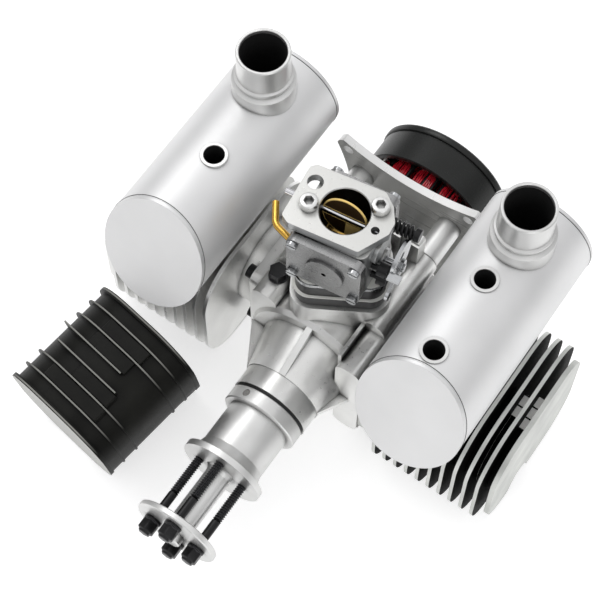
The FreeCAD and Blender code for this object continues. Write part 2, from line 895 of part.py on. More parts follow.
def spark_plug(side):
    """Threaded end, hexagon, insulator and terminal, along Z from the combustion chamber."""
    shoulder = D.plug_seat + D.plug_hexagon
    outline = [
        (1, 0),
        (1, D.plug_thread),
        (D.plug_seat, D.plug_thread),
        (D.plug_seat, D.plug_hexagon),
        (shoulder, D.plug_hexagon),
        (shoulder, D.plug_hexagon - 2),
        (shoulder + 4, D.plug_hexagon / 2),
        (D.plug_length - 4, D.plug_hexagon * 0.4),
        (D.plug_length - 4, D.plug_hexagon / 4),
        (D.plug_length, D.plug_hexagon / 4),
        (D.plug_length, 0),
    ]
    plug = turned("z", outline, "Plug")
    return place(plug, (plug_start * side, cylinder_y(side), 0), plug_rotation(side))


def base_gasket(side):
    y = cylinder_y(side)
    low = along(side, pad_reach, flange_start)
    sheet_low = (low, y - D.flange_half_width, -D.flange_half_height)
    plate = block((D.gasket_thickness, D.flange_half_width * 2, D.flange_half_height * 2), sheet_low)
    return cut(plate, side_rod(side, mouth_radius, pad_reach, flange_start, y, 0))


def base_bolts(side):
    """Four black socket screws that hold one cylinder on its pad."""
    bolts = []
    for bolt_y, bolt_z in base_bolt_places(side):
        head = side_rod(side, 3.5, flange_end, flange_end + D.base_bolt_head, bolt_y, bolt_z)
        shank = side_rod(side, 2.0, flange_start, flange_end, bolt_y, bolt_z)
        bolts.append(fuse(head, shank))
    return bolts


def clamp_bolt():
    """The black hexagon bolt on the left pad, with its washer."""
    x, y, top = -27.0, -11.0, D.pad_half_height
    washer = rod(4.6, 0.8, (x, y, top))
    head = hexagon(7.6, 5.0, (x, y, top + 0.8))
    return fuse(washer, head)


def cylinder_trim():
    publish(group(base_gasket(RIGHT), base_gasket(LEFT)), "base_gaskets")
    publish(group(*base_bolts(RIGHT), *base_bolts(LEFT), clamp_bolt()), "cylinder_bolts")
    publish(group(spark_plug(RIGHT), spark_plug(LEFT)), "spark_plugs")


# Silencers


def muffler_solid(side, radius):
    start = D.muffler_front + D.muffler_radius
    length = start + D.muffler_back
    return rod(radius, length, (D.muffler_x * side, -start, muffler_z), "y")


def muffler_face(side, start, depth):
    """A leaned plate whose front face, at start 0, is the front of the silencer."""
    half = D.muffler_radius * 2
    centre = (D.muffler_x * side, -D.muffler_front, muffler_z)
    return slab(half, start, depth, half, centre, D.muffler_slant)


def tube_ring(side, radius, y, low, high):
    return rod(radius, high - low, (D.bolt_tube_x * side, y, low))


def muffler_shell(name, side):
    outer = muffler_solid(side, D.muffler_radius)
    room = D.muffler_radius * 2
    front_cut = muffler_face(side, -room + D.cap_thickness, room)
    back_start = (D.muffler_x * side, D.muffler_back - D.cap_thickness, muffler_z)
    back = rod(D.muffler_radius + 1, D.cap_thickness + 1, back_start, "y")
    hollows = [muffler_solid(side, D.muffler_radius - D.muffler_wall), front_cut, back]
    outlet = (D.muffler_x * side, D.outlet_y, muffler_z)
    hollows.append(rod(D.outlet_radius - D.outlet_wall, D.muffler_radius + 2, outlet))
    inlet = (D.port_x * side, cylinder_y(side), muffler_bottom - 1)
    hollows.append(rod(D.port_radius, D.muffler_radius, inlet))
    for y in muffler_tube_places(side):
        hollows.append(tube_ring(side, D.bolt_tube_radius, y, muffler_bottom - 2, muffler_top + 2))
    publish(cut(outer, *hollows), f"{name}_muffler_shell")


def front_cap(side):
    return common(muffler_solid(side, D.muffler_radius), muffler_face(side, 0, D.cap_thickness))


def rear_cap(side):
    start = D.muffler_back - D.cap_thickness
    return rod(D.muffler_radius, D.cap_thickness, (D.muffler_x * side, start, muffler_z), "y")


def outlet_tube(side):
    """Turned exhaust stub: collar welded on the shell, a bead above it, and a plain tube end."""
    inner = D.outlet_radius - D.outlet_wall
    collar_top = muffler_top + D.collar_height
    foot = muffler_top - 6
    outline = [
        (foot, inner),
        (foot, D.collar_radius),
        (collar_top, D.collar_radius),
        (collar_top + 1.2, D.outlet_radius + 0.3),
        (collar_top + 3.0, D.outlet_radius + 0.3),
        (collar_top + 3.6, D.outlet_radius + 1.1),
        (collar_top + 4.8, D.outlet_radius + 1.1),
        (collar_top + 5.4, D.outlet_radius),
        (outlet_top - 0.4, D.outlet_radius),
        (outlet_top, D.outlet_radius - 0.4),
        (outlet_top, inner + 0.3),
        (outlet_top - 0.3, inner),
    ]
    tube = place(turned("z", outline, "Outlet"), (D.muffler_x * side, D.outlet_y, 0))
    return cut(tube, muffler_solid(side, D.muffler_radius))


def bolt_tube(side, y):
    """A tube through the silencer with a lip on top and a floor for the bolt head."""
    floor = muffler_bottom + 1.6
    lip_foot = muffler_top - 1.4
    outer = tube_ring(side, D.bolt_tube_radius, y, muffler_bottom + 0.4, muffler_top + 0.6)
    lip = tube_ring(side, D.bolt_tube_radius + D.bolt_tube_lip, y, lip_foot, muffler_top + 0.6)
    lip = cut(lip, muffler_solid(side, D.muffler_radius))
    inner = tube_ring(side, D.bolt_tube_radius - D.bolt_tube_wall, y, floor, muffler_top + 1)
    hole = tube_ring(side, D.muffler_bolt_radius + 0.1, y, muffler_bottom, floor)
    return cut(fuse(outer, lip), inner, hole)


def muffler_bolt(side, y):
    floor = muffler_bottom + 1.6
    foot = D.port_top - 9
    shank = tube_ring(side, D.muffler_bolt_radius, y, foot, floor)
    head = tube_ring(side, D.muffler_bolt_radius + 1.6, y, floor, floor + 4)
    return cut(fuse(shank, head), hexagon(3.4, 2.5, (D.bolt_tube_x * side, y, floor + 1.5)))


def exhaust_saddle(side):
    """The block between the exhaust port and the round underside of the silencer."""
    y = cylinder_y(side)
    low = along(side, D.port_x - D.port_half_length, D.port_x + D.port_half_length)
    height = D.muffler_radius * 0.25
    saddle = span(
        (low, y - port_shift(side) - D.port_half_width, D.port_top),
        (low + D.port_half_length * 2, y + D.port_half_width, D.port_top + height),
    )
    hollows = [muffler_solid(side, D.muffler_radius)]
    hollows.append(rod(D.port_radius, height, (D.port_x * side, y, D.port_top)))
    for tube_y in muffler_tube_places(side):
        hollows.append(tube_ring(side, D.bolt_tube_radius, tube_y, muffler_bottom + 0.4, muffler_bottom + 6))
        hollows.append(tube_ring(side, D.muffler_bolt_radius + 0.1, tube_y, D.port_top, muffler_bottom + 1))
    return cut(rounded(saddle, D.pad_corner, Z_AXIS), *hollows)


def silencers():
    for name, side in SIDES.items():
        muffler_shell(name, side)
    publish(group(outlet_tube(RIGHT), outlet_tube(LEFT)), "muffler_outlets")
    caps = [front_cap(RIGHT), rear_cap(RIGHT), front_cap(LEFT), rear_cap(LEFT)]
    publish(group(*caps), "muffler_end_caps")
    tubes = []
    bolts = []
    for side in SIDES.values():
        for y in muffler_tube_places(side):
            tubes.append(bolt_tube(side, y))
            bolts.append(muffler_bolt(side, y))
    publish(group(*tubes), "muffler_bolt_tubes")
    publish(group(*bolts), "muffler_bolts")
    publish(group(exhaust_saddle(RIGHT), exhaust_saddle(LEFT)), "exhaust_saddles")


# Rear plate with its posts, and the generator behind it


def rear_plate():
    """Mounting plate with four ears, all its edges hollowed by large arcs."""
    reach = D.ear_x + D.ear_radius
    low = (-reach, D.plate_front, -D.ear_low_z - D.ear_radius)
    high = (reach, plate_back, D.ear_top_z + D.ear_radius)
    plate = rounded(span(low, high), D.ear_radius, Y_AXIS)
    centres = [(0, D.edge_top + D.edge_sweep), (0, -D.edge_low - D.edge_sweep)]
    middle = (D.ear_top_z - D.ear_low_z) / 2
    centres += [(D.edge_side + D.edge_sweep, middle), (-D.edge_side - D.edge_sweep, middle)]
    hollows = [rod(D.edge_sweep, D.plate_thickness, (x, D.plate_front, z), "y") for x, z in centres]
    hollows.append(rod(D.shaft_radius + 3, D.plate_thickness, (0, D.plate_front, 0), "y"))
    for side in SIDES.values():
        for x, z in ((D.ear_x, D.ear_top_z), (D.ear_x, -D.ear_low_z)):
            hollows.append(rod(D.ear_hole, D.plate_thickness, (x * side, D.plate_front, z), "y"))
        for z in (D.post_top_z, -D.post_low_z):
            hollows.append(rod(2.0, D.plate_thickness, (D.post_x * side, D.plate_front, z), "y"))
    publish(cut(plate, *hollows), "rear_plate")


def plate_posts():
    posts = []
    screws = []
    for side in SIDES.values():
        for z, radius in ((D.post_top_z, D.post_low_radius + 0.6), (-D.post_low_z, D.post_low_radius)):
            outline = [
                (D.case_back, 2.0),
                (D.case_back, radius - 0.6),
                (D.case_back + 1, radius),
                (D.plate_front, radius),
                (D.plate_front, 2.0),
            ]
            posts.append(place(turned("y", outline, "Post"), (D.post_x * side, 0, z)))
            shank = rod(1.9, plate_back - D.case_back - 2, (D.post_x * side, D.case_back + 2, z), "y")
            head = rod(3.4, 2.2, (D.post_x * side, plate_back, z), "y")
            socket = hexagon(3.0, 1.4, (D.post_x * side, plate_back + 0.8, z), "y")
            screws.append(cut(fuse(shank, head), socket))
    publish(group(*posts), "standoff_posts")
    publish(group(*screws), "rear_screws")


def generator():
    inner = D.drum_radius - D.drum_wall
    step = D.drum_back - 3.4
    outline = [
        (D.drum_front, inner),
        (D.drum_front, D.drum_radius),
        (step, D.drum_radius),
        (step + 0.5, D.drum_radius - 1.2),
        (D.drum_back - 0.5, D.drum_radius - 1.2),
        (D.drum_back, D.drum_radius - 1.7),
        (D.drum_back, D.shaft_radius),
        (D.drum_back - 7, D.shaft_radius),
        (D.drum_back - 7, D.shaft_radius + 2.6),
        (D.drum_back - 3, D.shaft_radius + 2.6),
        (D.drum_back - 3, inner),
    ]
    publish(turned("y", outline, "Drum"), "rotor_drum")
    ring_start = D.drum_front + 0.6
    ring_length = D.drum_back - 4.5 - ring_start
    ring = rod(inner, ring_length, (0, ring_start, 0), "y")
    hollows = [rod(inner - D.magnet_thickness, ring_length, (0, ring_start, 0), "y")]
    for number in range(6):
        slot = block((inner * 2 + 2, ring_length, 1.4), (0, 0, 0))
        turn = FreeCAD.Rotation(Y_AXIS, 30 * number)
        x, z = polar(inner + 1, -30 * number)
        shift = polar(0.7, 90 - 30 * number)
        hollows.append(place(slot, (-x - shift[0], ring_start, -z - shift[1]), turn))
    publish(cut(ring, *hollows), "rotor_magnets")
    nut = hexagon(13.0, 5.0, (0, D.drum_back + 1, 0), "y")
    washer = rod(8.5, 1.0, (0, D.drum_back, 0), "y")
    thread = rod(D.shaft_radius - 2, 6, (0, D.drum_back, 0), "y")
    publish(cut(fuse(nut, washer), thread), "shaft_nut")


def stator():
    """Toothed core on a sleeve that stands on the rear plate, with a coil on every tooth."""
    outer = D.drum_radius - D.drum_wall - D.magnet_thickness - D.air_gap
    length = D.stator_back - D.stator_front
    sleeve = rod(D.stator_sleeve, D.stator_back - plate_back, (0, plate_back, 0), "y")
    teeth = [sleeve]
    coils = []
    holes = []
    for number in range(int(D.stator_teeth.number)):
        degrees = 360.0 / D.stator_teeth.number * number
        turn = FreeCAD.Rotation(Y_AXIS, degrees)
        half = D.tooth_width / 2
        tooth = span((-half, D.stator_front, 10), (half, D.stator_back, outer - 1.6))
        teeth.append(place(tooth, radial(degrees, -half, D.stator_front, 10), turn))
        half = D.coil_width / 2
        coil_start = D.stator_front - D.coil_overhang
        coil_end = D.stator_back + D.coil_overhang / 2
        coil = span((-half, coil_start, D.coil_inner), (half, coil_end, D.coil_outer))
        coils.append(place(coil, radial(degrees, -half, coil_start, D.coil_inner), turn))
        half = D.tooth_width / 2
        hole = span((-half, D.stator_front, D.coil_inner), (half, D.stator_back, D.coil_outer))
        holes.append(place(hole, radial(degrees, -half, D.stator_front, D.coil_inner), turn))
        half = D.shoe_width / 2
        shoe = span((-half, D.stator_front, outer - 2.2), (half, D.stator_back, outer + 2))
        teeth.append(place(shoe, radial(degrees, -half, D.stator_front, outer - 2.2), turn))
    core = common(fuse(*teeth), rod(outer, D.stator_back - plate_back, (0, plate_back, 0), "y"))
    shaft_way = rod(D.shaft_radius + 3, D.stator_back - plate_back, (0, plate_back, 0), "y")
    publish(cut(core, shaft_way), "generator_stator")
    publish(cut(fuse(*coils), *holes), "generator_windings")


def radial(degrees, across, along_y, out):
    """Where a corner given across, along and out from the axis goes after a turn about Y."""
    angle = math.radians(degrees)
    sine, cosine = math.sin(angle), math.cos(angle)
    across, out = size(across), size(out)
    return across * cosine + out * sine, along_y, out * cosine - across * sine


# Crankshaft, connecting rods and pistons


def crankshaft():
    nose = D.hub_reach - 4
    seat = D.snout_front + D.seal_lip + 0.3
    front = [
        (-nose, 0),
        (-nose, D.nose_radius),
        (-seat, D.nose_radius),
        (-seat, D.shaft_radius),
        (-web_outer, D.shaft_radius),
        (-web_outer, D.web_radius),
        (-web_inner, D.web_radius),
        (-web_inner, 0),
    ]
    back = [
        (web_inner, 0),
        (web_inner, D.web_radius),
        (web_outer, D.web_radius),
        (web_outer, D.shaft_radius),
        (D.drum_back, D.shaft_radius),
        (D.drum_back, D.shaft_radius - 2),
        (D.drum_back + 8, D.shaft_radius - 2),
        (D.drum_back + 8, 0),
    ]
    centre = rod(D.web_radius, centre_web * 2, (0, -centre_web, 0), "y")
    shaft = fuse(turned("y", front, "FrontShaft"), turned("y", back, "RearShaft"), centre)
    holes = []
    for sign in (-1, 1):
        x, z = polar(D.web_radius - 6.5, 90 * sign)
        holes.append(rod(4.0, web_outer * 2, (x, -web_outer, z), "y"))
    publish(cut(shaft, *holes), "crankshaft")


def connecting_rod(name, side):
    y = cylinder_y(side)
    half = D.rod_width / 2
    crank_x, small_x = crank_radius * side, wrist_x * side
    pin_hole = D.crank_pin_radius + D.running_fit
    wrist_hole = D.wrist_pin_radius + D.running_fit
    big_end = rod(pin_hole + D.big_end_wall, D.rod_width, (crank_x, y - half, 0), "y")
    small_end = rod(wrist_hole + D.small_end_wall, D.rod_width, (small_x, y - half, 0), "y")
    low = along(side, crank_radius + pin_hole + 1, wrist_x - wrist_hole - 1)
    length = wrist_x - wrist_hole - 1 - (crank_radius + pin_hole + 1)
    beam = block((length, D.rod_width - 1, 8.0), (low, y - half + 0.5, -4.0))
    groove = length - 6
    recesses = [
        block((groove, 1.6, 4.0), (low + 3, y - half + 0.5, -2.0)),
        block((groove, 1.6, 4.0), (low + 3, y + half - 2.1, -2.0)),
        rod(pin_hole, D.rod_width, (crank_x, y - half, 0), "y"),
        rod(wrist_hole, D.rod_width, (small_x, y - half, 0), "y"),
    ]
    publish(cut(fuse(big_end, small_end, beam), *recesses), f"{name}_con_rod")
    pin_half = half + D.rod_side_gap - 0.1
    pin = rod(D.crank_pin_radius + D.running_fit, pin_half * 2, (crank_x, y - pin_half, 0), "y")
    pin_bore = rod(1.6, pin_half * 2, (crank_x, y - pin_half, 0), "y")
    publish(cut(pin, pin_bore), f"{name}_crank_pin")


def piston(name, side):
    y = cylinder_y(side)
    outer = bore_radius - D.running_fit
    groove_top = crown_x - D.ring_below_crown
    groove_low = groove_top - D.ring_height - 0.1
    outline = [
        ((wrist_x - D.skirt_length) * side, outer - D.piston_wall),
        ((wrist_x - D.skirt_length) * side, outer),
        (groove_low * side, outer),
        (groove_low * side, outer - D.ring_depth),
        (groove_top * side, outer - D.ring_depth),
        (groove_top * side, outer),
        (crown_x * side, outer),
        (crown_x * side, 0),
        ((crown_x - D.crown_thickness) * side, 0),
        ((crown_x - D.crown_thickness) * side, outer - D.piston_wall),
    ]
    shell = place(turned("x", outline, "Piston"), (0, y, 0))
    bosses = rod(D.wrist_pin_radius + 3, outer * 2, (wrist_x * side, y - outer, 0), "y")
    bosses = common(bosses, side_rod(side, outer - 1, wrist_x - D.skirt_length, crown_x - 1, y, 0))
    half = D.rod_width / 2 + 0.6
    gap = span(
        (wrist_x * side - 8, y - half, -8),
        (wrist_x * side + 8, y + half, 8),
    )
    body = fuse(shell, cut(bosses, gap))
    pin_length = outer - 2.2
    hole = rod(D.wrist_pin_radius, outer * 2, (wrist_x * side, y - outer, 0), "y")
    publish(cut(body, hole), f"{name}_piston")
    pin = rod(D.wrist_pin_radius, pin_length * 2, (wrist_x * side, y - pin_length, 0), "y")
    pin_bore = rod(2.2, pin_length * 2, (wrist_x * side, y - pin_length, 0), "y")
    publish(cut(pin, pin_bore), f"{name}_wrist_pin")
    ring_outer = bore_radius - 0.02
    ring_inner = outer - D.ring_depth + 0.05
    low = groove_low + 0.05
    ring = side_rod(side, ring_outer, low, low + D.ring_height, y, 0)
    split = span((low * side - 3, y - 0.25, ring_inner - 1), (low * side + 3, y + 0.25, ring_outer + 1))
    ring = cut(ring, side_rod(side, ring_inner, low, low + D.ring_height, y, 0), split)
    publish(ring, f"{name}_piston_ring")


# Propeller drive


def magnet(reach, start):
    """A round plug set in the hub collar, up and to the left."""
    turn = FreeCAD.Rotation(Y_AXIS, -28.0)
    x, z = polar(start, 118.0)
    item = doc.addObject("Part::Cylinder", "Magnet")
    bind(item, Radius=D.magnet_radius, Height=size(reach) - start)
    return place(item, (x, -(D.collar_front + D.snout_front + D.seal_lip) / 2, z), turn)


def bolt_places():
    return [polar(D.bolt_circle, degrees) for degrees in (0, 90, 180, 270)]


def propeller_drive():
    seat = D.snout_front + D.seal_lip + 0.3
    flange_back = D.hub_reach - D.hub_flange_thickness
    outline = [
        (-seat, D.nose_radius),
        (-seat, D.hub_collar_radius - 0.5),
        (-seat - 0.5, D.hub_collar_radius),
        (-D.collar_front + 0.5, D.hub_collar_radius),
        (-D.collar_front, D.hub_collar_radius - 0.5),
        (-D.collar_front, D.neck_radius),
        (-flange_back + 6, D.neck_radius),
        (-flange_back + 1, D.neck_flare),
        (-flange_back, D.neck_flare + 1),
        (-flange_back, D.hub_flange_radius),
        (-D.hub_reach, D.hub_flange_radius),
        (-D.hub_reach, D.centre_boss_radius + 1.6),
        (-D.hub_reach - 0.8, D.centre_boss_radius + 0.9),
        (-D.hub_reach - 2.6, D.centre_boss_radius),
        (-washer_back, D.centre_boss_radius),
        (-washer_back, 4.9),
        (-washer_front - 3.6, 4.9),
        (-washer_front - 4.2, 4.3),
        (-washer_front - 4.2, 0),
        (-D.hub_reach + 4, 0),
        (-D.hub_reach + 4, D.nose_radius),
    ]
    hub = turned("y", outline, "DriveHub")
    thread_hole = D.prop_bolt_thread + 0.05
    depth = D.prop_bolt_depth + 1
    holes = [rod(thread_hole, depth, (x, -D.hub_reach, z), "y") for x, z in bolt_places()]
    holes.append(magnet(D.hub_collar_radius + 1, D.hub_collar_radius - 3))
    publish(cut(hub, *holes), "drive_hub")
    plug = magnet(D.hub_collar_radius - 0.2, D.hub_collar_radius - 3)
    publish(group(plug), "timing_magnet")
    rim = [
        (-washer_front, 5.0),
        (-washer_front, D.washer_radius - 0.5),
        (-washer_front + 0.5, D.washer_radius),
        (-washer_back - 0.4, D.washer_radius),
        (-washer_back, D.washer_radius - 0.4),
        (-washer_back, 5.0),
    ]
    disc = turned("y", rim, "PropWasher")
    clear = D.prop_bolt_radius + 0.05
    holes = [rod(clear, D.washer_thickness, (x, -washer_front, z), "y") for x, z in bolt_places()]
    publish(cut(disc, *holes), "prop_washer")
    bolts = []
    for x, z in bolt_places():
        thread_length = washer_front - D.hub_reach + D.prop_bolt_depth
        thread = rod(D.prop_bolt_thread, thread_length, (x, -washer_front, z), "y")
        shank = rod(D.prop_bolt_radius, D.washer_gap, (x, -washer_back, z), "y")
        collar_start = -washer_front - 1.6
        collar = rod(D.prop_bolt_flange, 1.6, (x, collar_start, z), "y")
        head_start = collar_start - D.prop_bolt_head
        head = hexagon(D.prop_bolt_flats, D.prop_bolt_head, (x, head_start, z), "y")
        tip_start = head_start - 1.0
        tip = rod(2.9, 1.0, (x, tip_start, z), "y")
        bolts.append(fuse(thread, shank, collar, head, tip))
    publish(group(*bolts), "prop_bolts")


# Intake stack between the crankcase and the carburettor


def stack_plate(low, high, inset=0.0):
    half_length = D.stack_half_length - inset
    half_depth = D.stack_half_depth - inset
    plate = span((-half_length, -half_depth, low), (half_length, half_depth, high))
    passage = rod(D.intake_radius, high - low, (0, 0, low))
    return cut(rounded(plate, D.stack_corner, Z_AXIS), passage)


def centred_box(half_length, half_depth, low, high):
    return span((-half_length, -half_depth, low), (half_length, half_depth, high))


def intake_stack():
    half_length, half_depth = D.reed_length / 2, D.reed_width / 2
    spacer = stack_plate(D.boss_top, spacer_top)
    mouth = centred_box(half_length - 1, half_depth - 1, D.boss_top, D.boss_top + 4)
    publish_stack(cut(spacer, mouth), "intake_spacer")
    seat = stack_plate(carb_plate_top, carb_base, 0.6)
    publish_stack(group(stack_plate(spacer_top, gasket_top, -0.7), seat), "intake_gaskets")
    publish_stack(stack_plate(gasket_top, insulator_top, 0.3), "intake_insulator")
    publish_stack(stack_plate(insulator_top, carb_plate_top), "carb_plate")
    near = (-half_length, half_length, -1.4, 1.4)
    far = (-half_length, half_length, -half_depth, half_depth)
    turn = FreeCAD.Rotation(X_AXIS, 90)
    tip = D.chamber_radius + 2.4
    shape = wedge(tip, D.boss_top, near, far, turn)
    inner_near = (-half_length + 1.2, half_length - 1.2, -0.3, 0.3)
    inner_far = (-half_length + 1.2, half_length - 1.2, -half_depth + 1.2, half_depth - 1.2)
    inner = wedge(tip + 2, D.boss_top, inner_near, inner_far, turn)
    bridge = span((-1, -half_depth, tip + 4), (1, half_depth, D.boss_top))
    rim = centred_box(half_length + 1.4, half_depth + 1.4, D.boss_top - 2, D.boss_top)
    rim_way = centred_box(half_length - 1.2, half_depth - 1.2, D.boss_top - 2, D.boss_top)
    rim = cut(rim, rim_way)
    publish_stack(fuse(cut(shape, inner), common(shape, bridge), rim), "reed_cage")


# Carburettor, drawn straight and turned when it is published


def carburettor_body():
    half, depth = D.carb_half_width, D.carb_half_depth
    face_low = carb_top - D.face_thickness
    core = span((-half, -depth, carb_base), (half, depth, face_low))
    right, left, deep = D.face_right, -D.face_left, D.face_half_depth
    outline = [
        (left, -deep + 2.5),
        (left + 4, -deep),
        (right - 8, -deep + 1.2),
        (right, -deep + 15),
        (right, 4.5),
        (right - 4, deep - 5),
        (right - 10, deep),
        (left + 2.5, deep - 1.5),
        (left, deep - 4),
    ]
    face = padded(outline, face_low, D.face_thickness, "CarbFace")
    forms = [rounded(core, D.cover_corner, Z_AXIS), rounded(face, size(2.0), Z_AXIS)]
    forms.append(rod(6.0, 4, (half - 2, -3, choke_z - 9.5), "x"))
    forms.append(rod(5.4, 5, (half - 2, 0, throttle_z), "x"))
    forms.append(rod(5.0, 5, (-half - 3, 0, throttle_z), "x"))
    waist = throttle_z + 5.5
    neck = choke_z - D.carb_bore - 0.6
    outline = [
        (carb_base, 0),
        (carb_base, D.throttle_bore),
        (throttle_z + 3.8, D.throttle_bore),
        (waist, D.venturi),
        (waist + 1.6, D.venturi),
        (neck, D.carb_bore),
        (carb_top - 0.6, D.carb_bore),
        (carb_top, D.carb_bore + 0.6),
        (carb_top, 0),
    ]
    hollows = [turned("z", outline, "Venturi")]
    long_way = (half + 8) * 2
    hollows.append(rod(D.choke_shaft_radius + D.running_fit, long_way, (-half - 8, 0, choke_z), "x"))
    hollows.append(rod(D.throttle_shaft_radius + D.running_fit, long_way, (-half - 8, 0, throttle_z), "x"))
    for x, y in screw_places():
        hollows.append(rod(D.carb_screw_radius + 0.1, D.carb_height, (x, y, carb_base)))
    hollows.append(rod(3.6, 6, (-17.8, 6.8, carb_top - 6)))
    hollows.append(rod(1.9, 5, (15.6, -2.5, carb_top - 5)))
    publish_carb(cut(fuse(*forms), *hollows), "carb_body")


def screw_places():
    return [(-D.left_screw_x, -D.left_screw_y), (D.right_screw_x, D.right_screw_y)]


def carburettor_covers():
    depth = D.carb_half_depth
    low, high = carb_base + 1, carb_top - D.face_thickness - 0.8
    half = D.cover_half_width
    front = span((-half, -depth - D.cover_thickness, low), (half, -depth, high))
    front = rounded(front, D.cover_corner, Y_AXIS)
    emboss = rod(9.0, 1.4, (1, -depth - D.cover_thickness - 1.4, (low + high) / 2), "y")
    vent = rod(1.2, 3, (1, -depth - D.cover_thickness - 1.4, (low + high) / 2), "y")
    front = cut(fuse(front, emboss), vent)
    rear = span((-half + 1, depth, low + 2), (half - 1, depth + D.cover_thickness - 0.4, high))
    publish_carb(group(front, rounded(rear, D.cover_corner, Y_AXIS)), "carb_covers")
    screws = []
    for x in (-half + 3.2, half - 3.2):
        for z in (low + 3.2, high - 3.2):
            face = -depth - D.cover_thickness
            screws.append(slotted_screw((x, face - 1.8, z), 2.5, 1.8))
    back = depth + D.cover_thickness - 0.4
    for x in (-half + 4.2, half - 4.2):
        for z in (low + 5.2, high - 3.2):
            screws.append(slotted_screw((x, back, z), 2.5, 1.8, behind=True))
    publish_carb(group(*screws), "carb_cover_screws")
    mount = []
    for x, y in screw_places():
        shank = rod(D.carb_screw_radius, carb_top - carb_base, (x, y, carb_base))
        head = rod(D.carb_screw_head, 4.4, (x, y, carb_top))
        socket = hexagon(4.0, 2.6, (x, y, carb_top + 1.8))
        mount.append(cut(fuse(shank, head), socket))
    publish_carb(group(*mount), "carb_mount_screws")


def slotted_screw(at, radius, height, behind=False):
    head = rod(radius, height, at, "y")
    slot_y = at[1] + height - 0.8 if behind else at[1]
    slot = block((radius * 2, 0.8, 0.8), (at[0] - radius, slot_y, at[2] - 0.4))
    return cut(head, slot)


def butterflies():
    """Throttle nearly shut and choke nearly open, each plate set in a slot of its shaft."""
    half = D.carb_half_width
    throttle_turn = FreeCAD.Rotation(X_AXIS, 8.0)
    disc = rod(D.throttle_bore - 0.2, D.butterfly_thickness, (0, 0, -D.butterfly_thickness / 2))
    plate = place(group(disc), (0, 0, throttle_z), throttle_turn)
    shaft = rod(D.throttle_shaft_radius, half + 7 + D.lever_reach, (-half - 7, 0, throttle_z), "x")
    publish_carb(cut(shaft, plate), "throttle_shaft")
    publish_carb(group(plate), "throttle_plate")
    publish_carb(throttle_lever(), "throttle_lever")
    choke_turn = FreeCAD.Rotation(X_AXIS, 80.0)
    disc = rod(D.carb_bore - 0.3, D.butterfly_thickness, (0, 0, -D.butterfly_thickness / 2))
    plate = place(group(disc), (0, 0, choke_z), choke_turn)
    shaft = rod(D.choke_shaft_radius, half * 2 + 12, (-half - 11, 0, choke_z), "x")
    publish_carb(cut(shaft, plate), "choke_shaft")
    publish_carb(group(plate), "choke_plate")


def throttle_lever():
    """A quadrant plate on the shaft's end, with a return arm below and a bent tab in front."""
    start = D.lever_reach - 3.4
    hub = rod(4.0, 3.2, (D.lever_reach - 4, 0, throttle_z), "x")
    quadrant = rod(D.lever_radius, D.lever_thickness, (start, 0, throttle_z + D.lever_rise), "x")
    foot = (start, -D.lever_tail, throttle_z - D.lever_tail)
    knuckle = rod(3.0, D.lever_thickness, foot, "x")
    half = 2.6
    shift = half * math.sqrt(0.5)
    arm = block((D.lever_thickness, half * 2, D.lever_tail * math.sqrt(2.0)), (0, 0, 0))
    arm = place(arm, (start, foot[1] - shift, foot[2] + shift), FreeCAD.Rotation(X_AXIS, -45))
    tab_z = throttle_z + D.lever_rise + 1
    tab = span((start, -D.lever_radius - 3.0, tab_z), (start + 6, -D.lever_radius + 1.0, tab_z + 1.4))
    forms = fuse(hub, quadrant, knuckle, arm, tab)
    hole = rod(D.throttle_shaft_radius, 4.0, (D.lever_reach - 4.5, 0, throttle_z), "x")
    window = rod(2.2, D.lever_thickness, (start, 0, throttle_z + D.lever_rise + 3.6), "x")
    eye = rod(1.0, D.lever_thickness, foot, "x")
    return cut(forms, hole, window, eye)


def carburettor_fittings():
    """Fuel tube, adjusting screws and the spring around the stop screw."""
    z = carb_top - 14
    side_y = -D.carb_half_depth - 1.6
    inner, elbow, tip = (-16, side_y, z), (-27, -13, z), (-32, -3, z)
    tube = fuse(
        bar(D.fuel_tube_radius, inner, elbow),
        bar(D.fuel_tube_radius, elbow, tip),
        rod(D.fuel_tube_radius, 3.2, (-27, -13, z - 1.6)),
    )
    socket = bar(2.8, (-17.2, side_y + 0.5, z), (-21, side_y + 1.9, z))
    body = span(
        (-D.carb_half_width, -D.carb_half_depth - D.cover_thickness - 2, carb_base),
        (D.carb_half_width, D.carb_half_depth, carb_top),
    )
    cover = span(
        (-D.cover_half_width, -D.carb_half_depth - D.cover_thickness, carb_base),
        (D.cover_half_width, -D.carb_half_depth, carb_top),
    )
    publish_carb(cut(fuse(tube, socket), body, cover), "fuel_nipple")
    start = D.carb_half_width
    screws = []
    for y, z in ((-7.5, carb_base + 9), (-7.5, carb_base + 17.2)):
        stem = rod(1.5, 3.5, (start, y, z), "x")
        head = rod(3.4, 4.5, (start + 3.5, y, z), "x")
        slot = block((1.0, 7.0, 0.9), (start + 7.2, y - 3.5, z - 0.45))
        screws.append(cut(fuse(stem, head), slot))
    stop_y, stop_z = 11.0, choke_z - 8.6
    stem = rod(1.6, 11.5, (start, stop_y, stop_z), "x")
    head = rod(3.2, 2.6, (start + 11.5, stop_y, stop_z), "x")
    screws.append(fuse(stem, head))
    publish_carb(group(*screws), "mixture_screws")
    outline = [(start, 1.7)]
    for number in range(7):
        foot = start + 1.6 * number
        outline += [(foot + 0.1, 2.4), (foot + 0.5, 3.1), (foot + 1.1, 3.1), (foot + 1.5, 2.4)]
    outline.append((start + 11.4, 1.7))
    spring = place(turned("x", outline, "Spring"), (0, stop_y, stop_z))
    publish_carb(group(spring), "throttle_spring")


# Loose barrel


